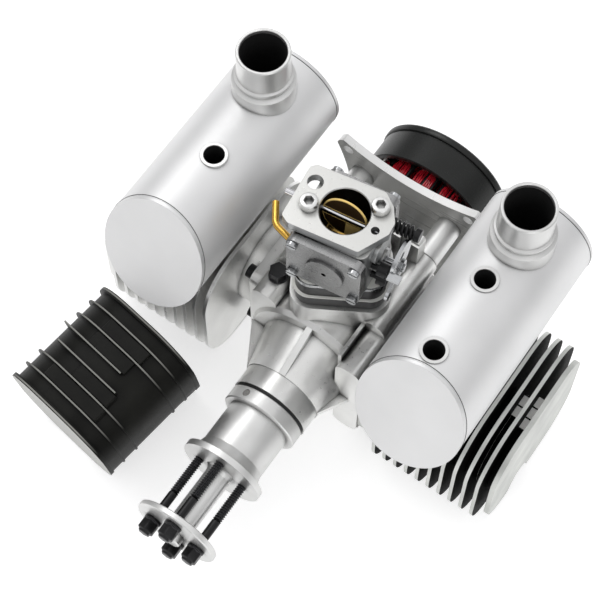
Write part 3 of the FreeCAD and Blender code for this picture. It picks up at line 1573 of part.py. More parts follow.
def spare_barrel():
    """A finned barrel with a bare bore that leans on its port flange and its front fin."""
    pitch = D.spare_pitch
    count = int(D.spare_fins.number)
    half_run = pitch * (count - 1) / 2 + D.spare_fin / 2
    forms = []
    for number in range(count):
        start = pitch * number - half_run
        fin = span(
            (-D.spare_half_width, start, -D.spare_half_height),
            (D.spare_half_width, start + D.spare_fin, D.spare_half_height),
        )
        forms.append(rounded(fin, D.spare_corner, Y_AXIS))
    core = span(
        (-D.spare_core_width, -half_run, -D.spare_core_height),
        (D.spare_core_width, half_run, D.spare_core_height),
    )
    forms.append(rounded(core, D.spare_corner, Y_AXIS))
    lean = math.radians(D.spare_lean.number)
    rise = half_run * math.sin(lean) + D.spare_half_height * math.cos(lean)
    reach = (rise + D.spare_port_start * math.sin(lean)) / math.cos(lean)
    port = span(
        (-D.spare_port_width, D.spare_port_start, -reach),
        (D.spare_port_width, D.spare_port_start + D.spare_port_length, 0),
    )
    forms.append(port)
    bore = rod(bore_radius, half_run * 2, (0, -half_run, 0), "y")
    window = D.spare_port_start + D.spare_port_length / 2
    hole = rod(D.port_radius, reach, (0, window, -reach))
    height = rise - D.fin_half_height
    turn = FreeCAD.Rotation(Z_AXIS, -D.spare_turn.number) * FreeCAD.Rotation(X_AXIS, D.spare_lean.number)
    publish(cut(fuse(*forms), bore, hole), "spare_barrel", (-D.spare_x, -D.spare_y, height), turn)


crankcase()
front_housing()
rear_cover()
bearings_and_seals()
for cylinder_name, cylinder_side in SIDES.items():
    finned_cylinder(cylinder_name, cylinder_side)
    cylinder_head(cylinder_name, cylinder_side)
    connecting_rod(cylinder_name, cylinder_side)
    piston(cylinder_name, cylinder_side)
cylinder_trim()
silencers()
rear_plate()
plate_posts()
generator()
stator()
crankshaft()
propeller_drive()
intake_stack()
carburettor_body()
carburettor_covers()
butterflies()
carburettor_fittings()
spare_barrel()

doc.recompute()
problems = []
for item in doc.Objects:
    if "Invalid" in item.State or "Error" in item.State:
        problems.append(f"{item.Name} ({item.Label}) is not built")
for label, item in nodes.items():
    if item.Shape.isNull() or not item.Shape.isValid() or not item.Shape.Solids:
        problems.append(f"{label} has no sound shape")
if problems:
    raise RuntimeError("; ".join(problems))

os.makedirs("parts", exist_ok=True)
for label, item in nodes.items():
    item.Shape.exportStep(f"parts/{label}.step")
    print(label, len(item.Shape.Solids), "solid(s)")
print(len(nodes), "sub-parts written")
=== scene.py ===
import math
import random

import bpy
from mathutils import Matrix, Vector


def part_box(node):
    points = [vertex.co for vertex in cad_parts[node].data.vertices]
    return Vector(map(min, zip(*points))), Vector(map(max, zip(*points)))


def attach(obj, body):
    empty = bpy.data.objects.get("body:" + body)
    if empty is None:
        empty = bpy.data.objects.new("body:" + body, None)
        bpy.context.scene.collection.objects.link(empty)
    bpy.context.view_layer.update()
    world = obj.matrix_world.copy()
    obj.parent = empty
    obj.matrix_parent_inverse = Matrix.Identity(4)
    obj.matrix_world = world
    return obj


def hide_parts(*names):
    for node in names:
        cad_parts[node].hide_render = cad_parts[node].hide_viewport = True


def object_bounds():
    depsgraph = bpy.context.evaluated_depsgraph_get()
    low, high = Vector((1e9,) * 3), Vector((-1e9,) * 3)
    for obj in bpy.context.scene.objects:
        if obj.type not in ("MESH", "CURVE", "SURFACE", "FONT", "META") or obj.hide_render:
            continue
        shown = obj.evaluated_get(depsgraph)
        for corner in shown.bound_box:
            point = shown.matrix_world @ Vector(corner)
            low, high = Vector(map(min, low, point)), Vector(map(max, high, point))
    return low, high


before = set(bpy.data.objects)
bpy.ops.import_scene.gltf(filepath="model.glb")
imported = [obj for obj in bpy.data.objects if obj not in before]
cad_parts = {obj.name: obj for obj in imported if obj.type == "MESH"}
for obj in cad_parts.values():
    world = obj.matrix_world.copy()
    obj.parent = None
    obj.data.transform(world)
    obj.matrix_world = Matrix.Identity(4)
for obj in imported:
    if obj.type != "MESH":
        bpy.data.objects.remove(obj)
cad_low, cad_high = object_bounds()

# Crankcase, front housing and rear cover
# Three castings of aluminium alloy, shot blasted and then machined where they meet. The front
# housing holds the front bearing, and the rear cover closes the crank chamber behind.

# The propeller seat is the origin, and the crank centre lies this far behind it.
crank_back = 0.0962
edge_break, relief_strength = 0.0003, 0.3
# The painted shadow in a corner is this share of the metal's deep tone.
shadow_share = 0.12
cast_tones = (0.90, 0.90, 0.885), (0.74, 0.74, 0.725)


def engine_place(x, y, z):
    """A place given in millimetres from the crank centre, in the frame's metres."""
    return Vector((x / 1000, y / 1000 + crank_back, z / 1000))


def new_finish(name):
    finish = bpy.data.materials.new(name)
    finish.use_nodes = True
    tree = finish.node_tree
    tree.nodes.clear()
    output = tree.nodes.new("ShaderNodeOutputMaterial")
    shader = tree.nodes.new("ShaderNodeBsdfPrincipled")
    tree.links.new(shader.outputs["BSDF"], output.inputs["Surface"])
    return finish, tree, shader


def grain(tree, scale, detail=3.0, stretch=(1.0, 1.0, 1.0)):
    """Noise over the piece, drawn out along an axis where a tool has left its marks."""
    place = tree.nodes.new("ShaderNodeTexCoord")
    mapping = tree.nodes.new("ShaderNodeMapping")
    mapping.inputs["Scale"].default_value = stretch
    field = tree.nodes.new("ShaderNodeTexNoise")
    field.inputs["Scale"].default_value = scale
    field.inputs["Detail"].default_value = detail
    tree.links.new(place.outputs["Object"], mapping.inputs["Vector"])
    tree.links.new(mapping.outputs["Vector"], field.inputs["Vector"])
    return field.outputs["Fac"]


def between(tree, value, low, high, start=0.25, end=0.75):
    """Spreads a value's range from start to end over another range, and stops at its ends."""
    spread = tree.nodes.new("ShaderNodeMapRange")
    spread.inputs["From Min"].default_value = start
    spread.inputs["From Max"].default_value = end
    spread.inputs["To Min"].default_value = low
    spread.inputs["To Max"].default_value = high
    tree.links.new(value, spread.inputs["Value"])
    return spread.outputs["Result"]


def two_tones(tree, share, first, second):
    """Mixes two colours, or the outputs that carry them, by a share."""
    mix = tree.nodes.new("ShaderNodeMix")
    mix.data_type = "RGBA"
    tree.links.new(share, mix.inputs["Factor"])
    for socket, tone in ((mix.inputs["A"], first), (mix.inputs["B"], second)):
        if isinstance(tone, tuple):
            socket.default_value = (*tone, 1.0)
        else:
            tree.links.new(tone, socket)
    return mix.outputs["Result"]


def mottle(tree, scale, detail, first, second):
    """Clouds of the second tone in the first."""
    return two_tones(tree, between(tree, grain(tree, scale, detail), 0.0, 1.0), first, second)


def painted_corner_shade(tree, reach, shadow, tone):
    """Paints shadow into a tone within a reach of the corners, where shade falls."""
    corner = tree.nodes.new("ShaderNodeAmbientOcclusion")
    corner.samples = 6
    corner.inputs["Distance"].default_value = reach
    return two_tones(tree, between(tree, corner.outputs["AO"], 0.0, 1.0, 0.3, 0.85), shadow, tone)


def grained(tree, shader, field, smoothest, roughest, depth):
    """Puts a fine grain in the gloss and in the relief, over softly broken edges."""
    tree.links.new(between(tree, field, smoothest, roughest), shader.inputs["Roughness"])
    rounding = tree.nodes.new("ShaderNodeBevel")
    rounding.samples = 4
    rounding.inputs["Radius"].default_value = edge_break
    bump = tree.nodes.new("ShaderNodeBump")
    bump.inputs["Strength"].default_value = relief_strength
    bump.inputs["Distance"].default_value = depth
    tree.links.new(rounding.outputs["Normal"], bump.inputs["Normal"])
    tree.links.new(field, bump.inputs["Height"])
    tree.links.new(bump.outputs["Normal"], shader.inputs["Normal"])


# corner is how far from a corner the painted shade reaches.
def alloy(name, tones, rough, fineness, stretch=(1, 1, 1), depth=0.00005, corner=0.004, metallic=1.0):
    """Bare metal, mottled from a pale and a deep tone, with shade painted into its corners and fine grain.
    """
    pale, deep = tones
    finish, tree, shader = new_finish(name)
    shadow = tuple(tone * shadow_share for tone in deep)
    body = painted_corner_shade(tree, corner, shadow, mottle(tree, 45.0, 2.0, deep, pale))
    tree.links.new(body, shader.inputs["Base Color"])
    fine = grain(tree, fineness, 3.0, stretch)
    grained(tree, shader, fine, rough - 0.07, rough + 0.07, depth)
    shader.inputs["Metallic"].default_value = metallic
    return finish


def dress(finish, *names):
    """Gives CAD nodes their finish."""
    for name in names:
        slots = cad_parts[name].data.materials
        slots.clear()
        slots.append(finish)


cast_alloy = alloy("blasted_casting", cast_tones, 0.33, 900.0, depth=0.00008, metallic=0.85)
dress(cast_alloy, "crankcase", "front_housing", "rear_cover")

# Crankshaft, hub and bearings
# A ground steel shaft in two ball bearings, with rubber lip seals. The turned aluminium hub is
# pressed on its nose and carries a small round magnet that times the spark.

turned_tones = (0.82, 0.82, 0.81), (0.64, 0.64, 0.63)
steel_tones = (0.60, 0.61, 0.62), (0.42, 0.43, 0.44)
nickel_tones = (0.50, 0.49, 0.47), (0.36, 0.35, 0.34)
turned_along_y = alloy(
    "turned_alloy_along_y", turned_tones, 0.40, 40.0, stretch=(1, 60, 1), depth=0.00003, metallic=0.85)
bright_steel = alloy("ground_steel", steel_tones, 0.18, 700.0, depth=0.00002)
dress(turned_along_y, "drive_hub")
dress(bright_steel, "crankshaft", "crank_bearings")


def feed(tree, socket, value):
    """Gives an input a fixed value, or the output of another node."""
    if isinstance(value, bpy.types.NodeSocket):
        tree.links.new(value, socket)
    else:
        socket.default_value = value


def vectors(tree, operation, *values):
    """One step of vector arithmetic. A length and a dot product come out as numbers."""
    step = tree.nodes.new("ShaderNodeVectorMath")
    step.operation = operation
    for socket, value in zip(step.inputs, values):
        feed(tree, socket, value)
    return step.outputs["Value" if operation in ("LENGTH", "DOT_PRODUCT") else "Vector"]


def worn_edge(tree, radius):
    """One along sharp edges, where the finish has rubbed bright, and nought elsewhere."""
    rounded = tree.nodes.new("ShaderNodeBevel")
    rounded.samples = 4
    rounded.inputs["Radius"].default_value = radius
    flat = tree.nodes.new("ShaderNodeNewGeometry")
    turn = vectors(tree, "DOT_PRODUCT", rounded.outputs["Normal"], flat.outputs["Normal"])
    return between(tree, turn, 1.0, 0.0, 0.86, 0.98)


def dull(name, colour, rough, fineness, depth=0.00004, edge_tone=None, metallic=0.0):
    """Paint, rubber or plastic: even colour with fine grain, and paler edges where it is rubbed."""
    finish, tree, shader = new_finish(name)
    deep = tuple(tone * 0.72 for tone in colour)
    body = mottle(tree, 60.0, 2.0, deep, colour)
    if edge_tone:
        body = two_tones(tree, worn_edge(tree, 0.00035), body, edge_tone)
    tree.links.new(body, shader.inputs["Base Color"])
    grained(tree, shader, grain(tree, fineness), rough - 0.06, rough + 0.08, depth)
    shader.inputs["Metallic"].default_value = metallic
    return finish


seal_rubber = dull("seal_rubber", (0.012, 0.012, 0.012), 0.5, 1200.0)
nickel = alloy("nickel_plated_magnet", nickel_tones, 0.2, 800.0, depth=0.00002)
dress(seal_rubber, "crank_seals")
dress(nickel, "timing_magnet", "rotor_magnets")

# Pistons and connecting rods
# Cast pistons with an iron ring each, on steel pins, and forged rods on pressed crank pins. They
# are hidden in the cylinders but move with the crank.

dress(turned_along_y, "right_piston", "left_piston")
dress(bright_steel, "right_piston_ring", "left_piston_ring", "right_wrist_pin", "left_wrist_pin")
dress(bright_steel, "right_con_rod", "left_con_rod", "right_crank_pin", "left_crank_pin")

# Cylinders and heads
# Finned aluminium castings on a paper gasket. The right one is painted black and its fin edges
# and end plate are then machined bright. The left one keeps its silver cast skin.

fin_paint, fin_shade, fin_edge = (0.005, 0.005, 0.0045), (0.55, 0.56, 0.54), (0.74, 0.75, 0.72)
# The lugs' tone is paler than their filed metal, a painted highlight on them in the fins' shade.
lug_tone_with_painted_light, rubbed_black = (0.97, 0.97, 0.94), (0.10, 0.10, 0.11)
# The fins reach further than this from the cylinder's axis, and the cast core doesn't.
core_reach = 0.0335
# The heights of the lugs' tops, and the stretch along the cylinder that the paint has missed.
lug_top, bare_gap = (0.0250, 0.0254), (0.0938, 0.0979)
plate_skin = 0.0006


def maths(tree, operation, *values):
    step = tree.nodes.new("ShaderNodeMath")
    step.operation = operation
    for socket, value in zip(step.inputs, values):
        feed(tree, socket, value)
    return step.outputs["Value"]


def surface(tree, what):
    """Where a point lies on its piece ("Object"), or which way the piece faces there ("Normal")."""
    return tree.nodes.new("ShaderNodeTexCoord").outputs[what]


def component(tree, vector, axis):
    split = tree.nodes.new("ShaderNodeSeparateXYZ")
    tree.links.new(vector, split.inputs["Vector"])
    return split.outputs[axis]


def off_axis(tree, centre, across):
    """How far a point lies from an axis, measured along the two directions that cross it."""
    away = vectors(tree, "SUBTRACT", surface(tree, "Object"), centre)
    return vectors(tree, "LENGTH", vectors(tree, "MULTIPLY", away, across))


def rising(tree, value, start, end):
    """Nought up to the start, and one from the end on."""
    return between(tree, value, 0.0, 1.0, start, end)


def falling(tree, value, start, end):
    """One up to the start, and nought from the end on."""
    return between(tree, value, 1.0, 0.0, start, end)


def both(tree, first, second):
    return maths(tree, "MULTIPLY", first, second)


def either(tree, *shares):
    """The largest of several shares."""
    largest = shares[0]
    for share in shares[1:]:
        largest = maths(tree, "MAXIMUM", largest, share)
    return largest


def band(tree, value, low, high, fade=0.00001):
    """One while a value lies between two limits."""
    return both(tree, rising(tree, value, low, low + fade), falling(tree, value, high, high + fade))


def fins_finish():
    """Black paint between the fins, with their outer edges and the end plate cut bright.

    The edges are the faces that look away from the cylinder's axis, past the core's reach. The
    tops of the cast lugs are filed bright too, and painted paler still as a highlight in the fins'
    shade, and one gap has missed the paint."""
    finish, tree, shader = new_finish("right_cylinder_paint")
    head_low, head_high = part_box("right_head")
    axis = Vector((0, (head_low.y + head_high.y) / 2, 0))
    plate_start = head_high.x - plate_skin
    place, facing = surface(tree, "Object"), surface(tree, "Normal")
    outward = falling(tree, maths(tree, "ABSOLUTE", component(tree, facing, "X")), 0.35, 0.5)
    past_core = rising(tree, off_axis(tree, axis, (0, 1, 1)), core_reach, core_reach + 0.0006)
    plate = rising(tree, component(tree, place, "X"), plate_start, plate_start + 0.0002)
    upward = rising(tree, component(tree, facing, "Z"), 0.85, 0.95)
    lugs = both(tree, upward, band(tree, component(tree, place, "Z"), *lug_top))
    missed = both(tree, outward, band(tree, component(tree, place, "X"), *bare_gap))
    bright = either(tree, both(tree, outward, past_core), plate, lugs, missed)
    metal = two_tones(tree, lugs, mottle(tree, 55.0, 2.0, fin_shade, fin_edge), lug_tone_with_painted_light)
    tree.links.new(two_tones(tree, bright, fin_paint, metal), shader.inputs["Base Color"])
    grained(tree, shader, grain(tree, 900.0), 0.46, 0.60, 0.00006)
    tree.links.new(between(tree, bright, 0.0, 0.75, 0.0, 1.0), shader.inputs["Metallic"])
    tree.links.new(between(tree, bright, 0.02, 0.5, 0.0, 1.0), shader.inputs["Specular IOR Level"])
    return finish


dress(fins_finish(), "right_cylinder", "right_head")
dress(cast_alloy, "left_cylinder", "left_head")
gasket_paper = dull("gasket_paper", (0.80, 0.80, 0.76), 0.72, 1400.0)
black_steel = dull(
    "oiled_black_steel", (0.018, 0.018, 0.019), 0.32, 1500.0, edge_tone=rubbed_black, metallic=0.6)
dress(gasket_paper, "base_gaskets")
dress(black_steel, "cylinder_bolts")

# Spark plugs
# One in each head, pointing down and out: white glazed insulator in a nickel plated steel shell
# with a hexagon, and a terminal nut on its end.

glaze_tones, shell_tone = ((0.70, 0.70, 0.67), (0.84, 0.84, 0.81)), (0.55, 0.55, 0.54)
# Shares of a plug's height, from its lower end, at which the terminal ends and the shell starts.
terminal_share, shell_share = 0.10, 0.50


def plug_finish():
    """Glazed ceramic between the terminal and the shell, told from the steel by its height."""
    finish, tree, shader = new_finish("glazed_insulator_and_shell")
    height = component(tree, surface(tree, "Object"), "Z")
    plug_low, plug_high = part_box("spark_plugs")
    run = plug_high.z - plug_low.z
    shell_start = plug_low.z + run * shell_share
    terminal_end = plug_low.z + run * terminal_share
    shell = rising(tree, height, shell_start, shell_start + 0.0002)
    terminal = falling(tree, height, terminal_end, terminal_end + 0.0002)
    steel = either(tree, shell, terminal)
    glaze = mottle(tree, 500.0, 3.0, *glaze_tones)
    tree.links.new(two_tones(tree, steel, glaze, shell_tone), shader.inputs["Base Color"])
    tree.links.new(steel, shader.inputs["Metallic"])
    grained(tree, shader, grain(tree, 700.0), 0.14, 0.26, 0.00002)
    return finish


dress(plug_finish(), "spark_plugs")

# Silencers
# Two drums rolled from thin aluminium and bead blasted, each closed by a slanted cap in front and
# a square one behind. They stand on cast saddles and are held by bolts through tubes.

blasted_tones = (0.81, 0.81, 0.81), (0.75, 0.75, 0.75)
cap_tones = (0.76, 0.76, 0.76), (0.72, 0.72, 0.72)
blasted = alloy(
    "bead_blasted_drum", blasted_tones, 0.50, 2600.0, depth=0.00003, corner=0.002, metallic=0.75)
blasted_cap = alloy(
    "bead_blasted_cap", cap_tones, 0.46, 2600.0, depth=0.00003, corner=0.001, metallic=0.75)
turned_upright = alloy(
    "turned_alloy_upright", turned_tones, 0.36, 40.0, stretch=(1, 1, 60), depth=0.00003, metallic=0.85)
dress(blasted, "right_muffler_shell", "left_muffler_shell")
dress(blasted_cap, "muffler_end_caps")
dress(turned_upright, "muffler_outlets", "muffler_bolt_tubes")
dress(cast_alloy, "exhaust_saddles")
dress(black_steel, "muffler_bolts")

# Soot lining of the exhaust stubs
# The inside of each stub and the mouth of the drum below it are dry black soot, thinner than
# paint, up to just under the bright rim.

outlet_x, outlet_y, outlet_bore = 67.6, 36.8, 0.01062
rim_drop, taper_drop, soot_floor = 0.0022, 0.004, 0.088
# Soot black, also used as painted shade lining the bolt tubes and for the dark cap joints.
soot_and_painted_shade = dull("exhaust_soot_and_painted_shade", (0.008, 0.008, 0.008), 0.7, 500.0, 0.0001)


def clear_hands():
    """Leaves edit mode and drops every selection, as an operator acts on all that is selected."""
    if bpy.context.object and bpy.context.object.mode == "EDIT":
        bpy.ops.object.mode_set(mode="OBJECT")
    bpy.ops.object.select_all(action="DESELECT")


def hold(piece):
    clear_hands()
    piece.select_set(True)
    bpy.context.view_layer.objects.active = piece


def pick(piece, kind, wanted):
    """Goes into edit mode with only those points, edges or faces selected that a test wants."""
    hold(piece)
    bpy.ops.object.mode_set(mode="EDIT")
    bpy.ops.mesh.select_mode(type=kind)
    bpy.ops.mesh.select_all(action="DESELECT")
    bpy.ops.object.mode_set(mode="OBJECT")
    mesh = piece.data
    for part in {"VERT": mesh.vertices, "EDGE": mesh.edges, "FACE": mesh.polygons}[kind]:
        part.select = wanted(part)
    bpy.ops.object.mode_set(mode="EDIT")


def upright_blank(name, sides, radius, low, high):
    """A round or many sided bar that stands on Z between two heights."""
    clear_hands()
    middle = (0, 0, (low + high) / 2)
    bpy.ops.mesh.primitive_cylinder_add(vertices=sides, radius=radius, depth=high - low, location=middle)
    blank = bpy.context.object
    blank.name = name
    bpy.ops.object.transform_apply(location=True, rotation=True, scale=True)
    return blank


def pull(by):
    """Draws out what is selected."""
    bpy.ops.mesh.extrude_region_move(TRANSFORM_OT_translate={"value": by})


def half_profile(name, outline):
    """Pulls one point from step to step along (height, radius) pairs."""
    clear_hands()
    bpy.ops.mesh.primitive_plane_add(size=0.001, location=(0, 0, 0))
    blank = bpy.context.object
    blank.name = name
    bpy.ops.object.mode_set(mode="EDIT")
    bpy.ops.mesh.select_mode(type="VERT")
    bpy.ops.mesh.select_all(action="SELECT")
    bpy.ops.mesh.merge(type="CENTER")
    here = Vector((outline[0][1], 0, outline[0][0]))
    bpy.ops.transform.translate(value=here)
    for height, radius in outline[1:]:
        there = Vector((radius, 0, height))
        pull(there - here)
        here = there
    return blank


def sewn(piece, rim=0, weld_reach=0.000002):
    """Merges points that meet, closes holes of so many sides and turns every face outwards."""
    hold(piece)
    bpy.ops.object.mode_set(mode="EDIT")
    bpy.ops.mesh.select_all(action="SELECT")
    bpy.ops.mesh.remove_doubles(threshold=weld_reach)
    if rim:
        bpy.ops.mesh.fill_holes(sides=rim)
    bpy.ops.mesh.normals_make_consistent(inside=False)
    bpy.ops.object.mode_set(mode="OBJECT")
    return piece


def turned_piece(name, outline, steps=64):
    """Spins a half profile about Z, as on a lathe, and closes its seam."""
    blank = half_profile(name, outline)
    bpy.ops.mesh.select_all(action="SELECT")
    bpy.ops.mesh.spin(steps=steps, angle=math.tau, center=(0, 0, 0), axis=(0, 0, 1))
    return sewn(blank)


def set_down(piece, at, turn=(0, 0, 0)):
    """Turns a piece by degrees about X, Y and Z, moves it to its place and leaves it untransformed."""
    piece.rotation_euler = [math.radians(angle) for angle in turn]
    piece.location = at
    hold(piece)
    bpy.ops.object.transform_apply(location=True, rotation=True, scale=True)
    return piece


def joined(name, pieces):
    clear_hands()
    for piece in pieces:
        piece.select_set(True)
    bpy.context.view_layer.objects.active = pieces[0]
    if len(pieces) > 1:
        bpy.ops.object.join()
    pieces[0].name = name
    return pieces[0]


def fit(piece, body, finish, smooth=35, stands_for=()):
    """Smooths and finishes a piece, hangs it on its body, and hides the nodes that it stands for."""
    hold(piece)
    piece.data.materials.clear()
    piece.data.materials.append(finish)
    bpy.ops.object.shade_smooth_by_angle(angle=math.radians(smooth))
    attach(piece, body)
    for node in stands_for:
        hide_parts(node)
    return piece


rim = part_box("muffler_outlets")[1].z - rim_drop
bore_outline = [
    (rim, outlet_bore), (rim - taper_drop, outlet_bore - 0.0001), (soot_floor, outlet_bore - 0.0002),
    (soot_floor, 0),
]
linings = []
for side in (1, -1):
    lining = turned_piece("stub_soot", bore_outline)
    linings.append(set_down(lining, engine_place(outlet_x * side, outlet_y, 0)))
fit(joined("stub_soot", linings), "engine", soot_and_painted_shade)

# Bolt wells
# The tubes that the fixing bolts drop through are lined with painted shade, dark below their bright
# lips. Three of them open upwards, two in the right silencer and one in the left.

well_places = ((65.0, -29.0), (65.0, 11.0), (-65.0, -5.0))
well_outline = [(0.0968, 0.00476), (0.090, 0.00473), (0.052, 0.00472), (0.052, 0.0022)]
wells = []
for x, y in well_places:
    # Each well is a dark lining standing for the shade inside its tube.
    well = turned_piece("bolt_well", well_outline, 40)
    wells.append(set_down(well, engine_place(x, y, 0)))
fit(joined("bolt_wells", wells), "engine", soot_and_painted_shade)

# Cap seams
# Each pressed cap is rolled over the drum's edge, which leaves a fine dark joint round the drum.
# The front joint follows the slant of its cap, so it is a ring that is stretched and tipped.

drum_radius, drum_height, seam_width = 0.02599, 71.0, 0.00017
front_joint, rear_joint, cap_slant = -47.35, 57.6, 23.8


def wire_ring(radius, thickness, segments):
    """A round wire bent to a flat ring about Z."""
    clear_hands()
    bpy.ops.mesh.primitive_torus_add(
        major_radius=radius, minor_radius=thickness, major_segments=segments, minor_segments=6)
    return bpy.context.object


seams = []
for side in (1, -1):
    for along, slant in ((front_joint, cap_slant), (rear_joint, 0.0)):
        seam = wire_ring(drum_radius, seam_width, 96)
        seam.scale.y = 1 / math.cos(math.radians(slant))
        at = engine_place(outlet_x * side, along, drum_height)
        seams.append(set_down(seam, at, (90 - slant, 0, 0)))
fit(joined("cap_seams", seams), "engine", soot_and_painted_shade, 80)

# Rear plate and posts
# A milled aluminium plate carries the engine by its four ears. It stands on turned posts with
# socket screws, and its rim is polished while its faces keep the brushed stock.

plate_tones, plate_rim = ((0.46, 0.46, 0.445), (0.56, 0.56, 0.545)), (0.84, 0.84, 0.83)


def plate_finish():
    """Brushed on the faces that look forwards and backwards, and polished round the rim."""
    finish, tree, shader = new_finish("milled_plate")
    level = maths(tree, "ABSOLUTE", component(tree, surface(tree, "Normal"), "Y"))
    face = rising(tree, level, 0.6, 0.8)
    body = two_tones(tree, face, plate_rim, mottle(tree, 22.0, 1.0, *plate_tones))
    tree.links.new(two_tones(tree, worn_edge(tree, 0.0003), body, plate_rim), shader.inputs["Base Color"])
    brushed = grain(tree, 50.0, 3.0, (1, 1, 14))
    grained(tree, shader, brushed, 0.24, 0.40, 0.00002)
    shader.inputs["Metallic"].default_value = 0.35
    return finish


dress(plate_finish(), "rear_plate")
dress(turned_along_y, "standoff_posts")
dress(bright_steel, "rear_screws")

# Generator windings
# Twelve teeth of black varnished core, each wound with two layers of thick red enamelled wire.
# The turns are laid by hand, so no two lie quite level.

core_varnish = dull("core_varnish", (0.012, 0.012, 0.012), 0.42, 900.0)
dress(core_varnish, "generator_stator")
wire_radius, tooth_count = 0.00055, 12
# Each turn lies this far above the one below, just clear of it.
turn_rise = wire_radius * 2.05
coil_front, coil_rear = 0.0634, 0.0912
# How far each layer stands off the tooth, its count of turns and the height of its lowest turn.
layers = ((0.0023, 8, 0.0152), (0.0034, 7, 0.0158))
enamel_deep, enamel_bright = (0.16, 0.004, 0.008), (0.62, 0.015, 0.03)
winder = random.Random(12)


def wire_turn(across, height, front=coil_front, rear=coil_rear):
    """One turn: a ring of wire whose two halves are drawn apart along the tooth."""
    turn = wire_ring(across, wire_radius, 18)
    half_run = (rear - front) / 2 - across
    pick(turn, "VERT", lambda point: point.co.y > 0)
    bpy.ops.transform.translate(value=(0, half_run * 2, 0))
    bpy.ops.object.mode_set(mode="OBJECT")
    tilt = (winder.uniform(-1.6, 1.6), winder.uniform(-5.0, 5.0), winder.uniform(-1.2, 1.2))
    start = crank_back + front + across + winder.uniform(-0.0004, 0.0005)
    return set_down(turn, (winder.uniform(-0.0002, 0.0002), start, height), tilt)


# The end turns are folded back over the front of each tooth in flat loose loops.
fold_front, fold_rear, fold_height = 0.0622, 0.0785, 0.0272
fold_loops = (0.0011, 0.0022, 0.0033, 0.0044)
coils = []
for number in range(tooth_count):
    turns = []
    for across in fold_loops:
        lift = fold_height + winder.uniform(-0.0002, 0.0009)
        turns.append(wire_turn(across, lift, fold_front, fold_rear))
    for across, count, lowest in layers:
        for lap in range(count):
            turns.append(wire_turn(across, lowest + lap * turn_rise))
    coil = joined("coil", turns)
    coils.append(set_down(coil, (0, 0, 0), (0, 360 / tooth_count * number, 0)))
windings = joined("windings", coils)


def enamel_finish():
    finish, tree, shader = new_finish("red_wire_enamel")
    tone = mottle(tree, 420.0, 2.0, enamel_deep, enamel_bright)
    tree.links.new(tone, shader.inputs["Base Color"])
    grained(tree, shader, grain(tree, 900.0), 0.12, 0.26, 0.00006)
    shader.inputs["Coat Weight"].default_value = 0.8
    shader.inputs["Coat Roughness"].default_value = 0.1
    return finish


fit(windings, "engine", enamel_finish(), 80, ["generator_windings"])

# Generator drum
# A spun steel cup, black anodised to a satin sheen, that turns round the windings with magnets
# inside its wall. A groove parts its thick rear rim from the wall, and its boss sits on the shaft.

backwards = (-90, 0, 0)
cup = [
    (75.4, 31.9), (75.4, 34.0), (75.8, 34.4), (91.6, 34.4), (91.9, 33.9), (92.3, 33.9), (92.6, 34.9),
    (93.2, 35.3), (95.2, 35.3), (96.0, 34.7), (96.2, 33.6), (96.2, 12.0), (98.0, 10.4), (98.0, 6.0),
    (91.0, 6.0), (91.0, 12.0), (93.4, 13.0), (93.4, 31.9), (75.4, 31.9),
]
cup_outline = [(height / 1000, radius / 1000) for height, radius in cup]
drum = set_down(turned_piece("generator_drum", cup_outline, 128), engine_place(0, 0, 0), backwards)
rubbed_anodising = (0.05, 0.05, 0.05)
anodised = dull(
    "black_anodised", (0.020, 0.021, 0.020), 0.30, 1800.0, 0.00003, edge_tone=rubbed_anodising,
    metallic=0.5)
fit(drum, "crank", anodised, 35, ["rotor_drum"])
dress(bright_steel, "shaft_nut")

# Propeller washer and bolts
# Four black hexagon bolts with pressed collars hold the washer off the hub's flange. Their rolled
# threads start a little below the washer and run into the flange.

dress(turned_along_y, "prop_washer")
forwards = (90, 0, 0)
bolt_circle, washer_front, bolt_count = 12.0, -131.8, 4
collar_outline = [
    (0.0, 0.0), (0.0, 0.0040), (0.0004, 0.0043), (0.0012, 0.0043), (0.0018, 0.0037), (0.0018, 0),
]
hexagon_width, hexagon_foot, hexagon_top, hexagon_chamfer = 0.0074, 0.0016, 0.0066, 0.00022
cap_step, cap_height, cap_edge = 0.0010, 0.0007, 0.0004
thread_pitch, thread_turns, thread_start = 0.0012, 20, 0.0150
thread_root, thread_crest = 0.00172, 0.00234
shank_outline = [(0.0001, 0.00215), (thread_start, 0.00215), (thread_start + 0.0004, 0.0019)]
thread_profile = [(0.0, thread_root), (thread_pitch * 0.5, thread_crest), (thread_pitch, thread_root)]


def wound(profile, steps, turns, rise, merge=False):
    """Winds a profile up Z, with the same rise at each turn."""
    winding = profile.modifiers.new("winding", "SCREW")
    winding.steps = winding.render_steps = steps
    winding.iterations = turns
    winding.screw_offset = rise
    winding.use_merge_vertices = merge
    hold(profile)
    bpy.ops.object.modifier_apply(modifier="winding")
    return profile


def hexagon_head():
    """A hexagon with a smaller one raised on its face, and softened edges."""
    hexagon = upright_blank("hexagon", 6, hexagon_width / math.sqrt(3), hexagon_foot, hexagon_top)
    pick(hexagon, "FACE", lambda face: face.normal.z > 0.9)
    bpy.ops.mesh.inset(thickness=cap_step, depth=cap_step / 2)
    pull((0, 0, cap_height))
    bpy.ops.mesh.inset(thickness=cap_edge, depth=cap_edge / 2)
    bpy.ops.object.mode_set(mode="OBJECT")
    chamfer = hexagon.modifiers.new("chamfer", "BEVEL")
    chamfer.width = hexagon_chamfer
    chamfer.segments = 2
    hold(hexagon)
    bpy.ops.object.modifier_apply(modifier="chamfer")
    return hexagon


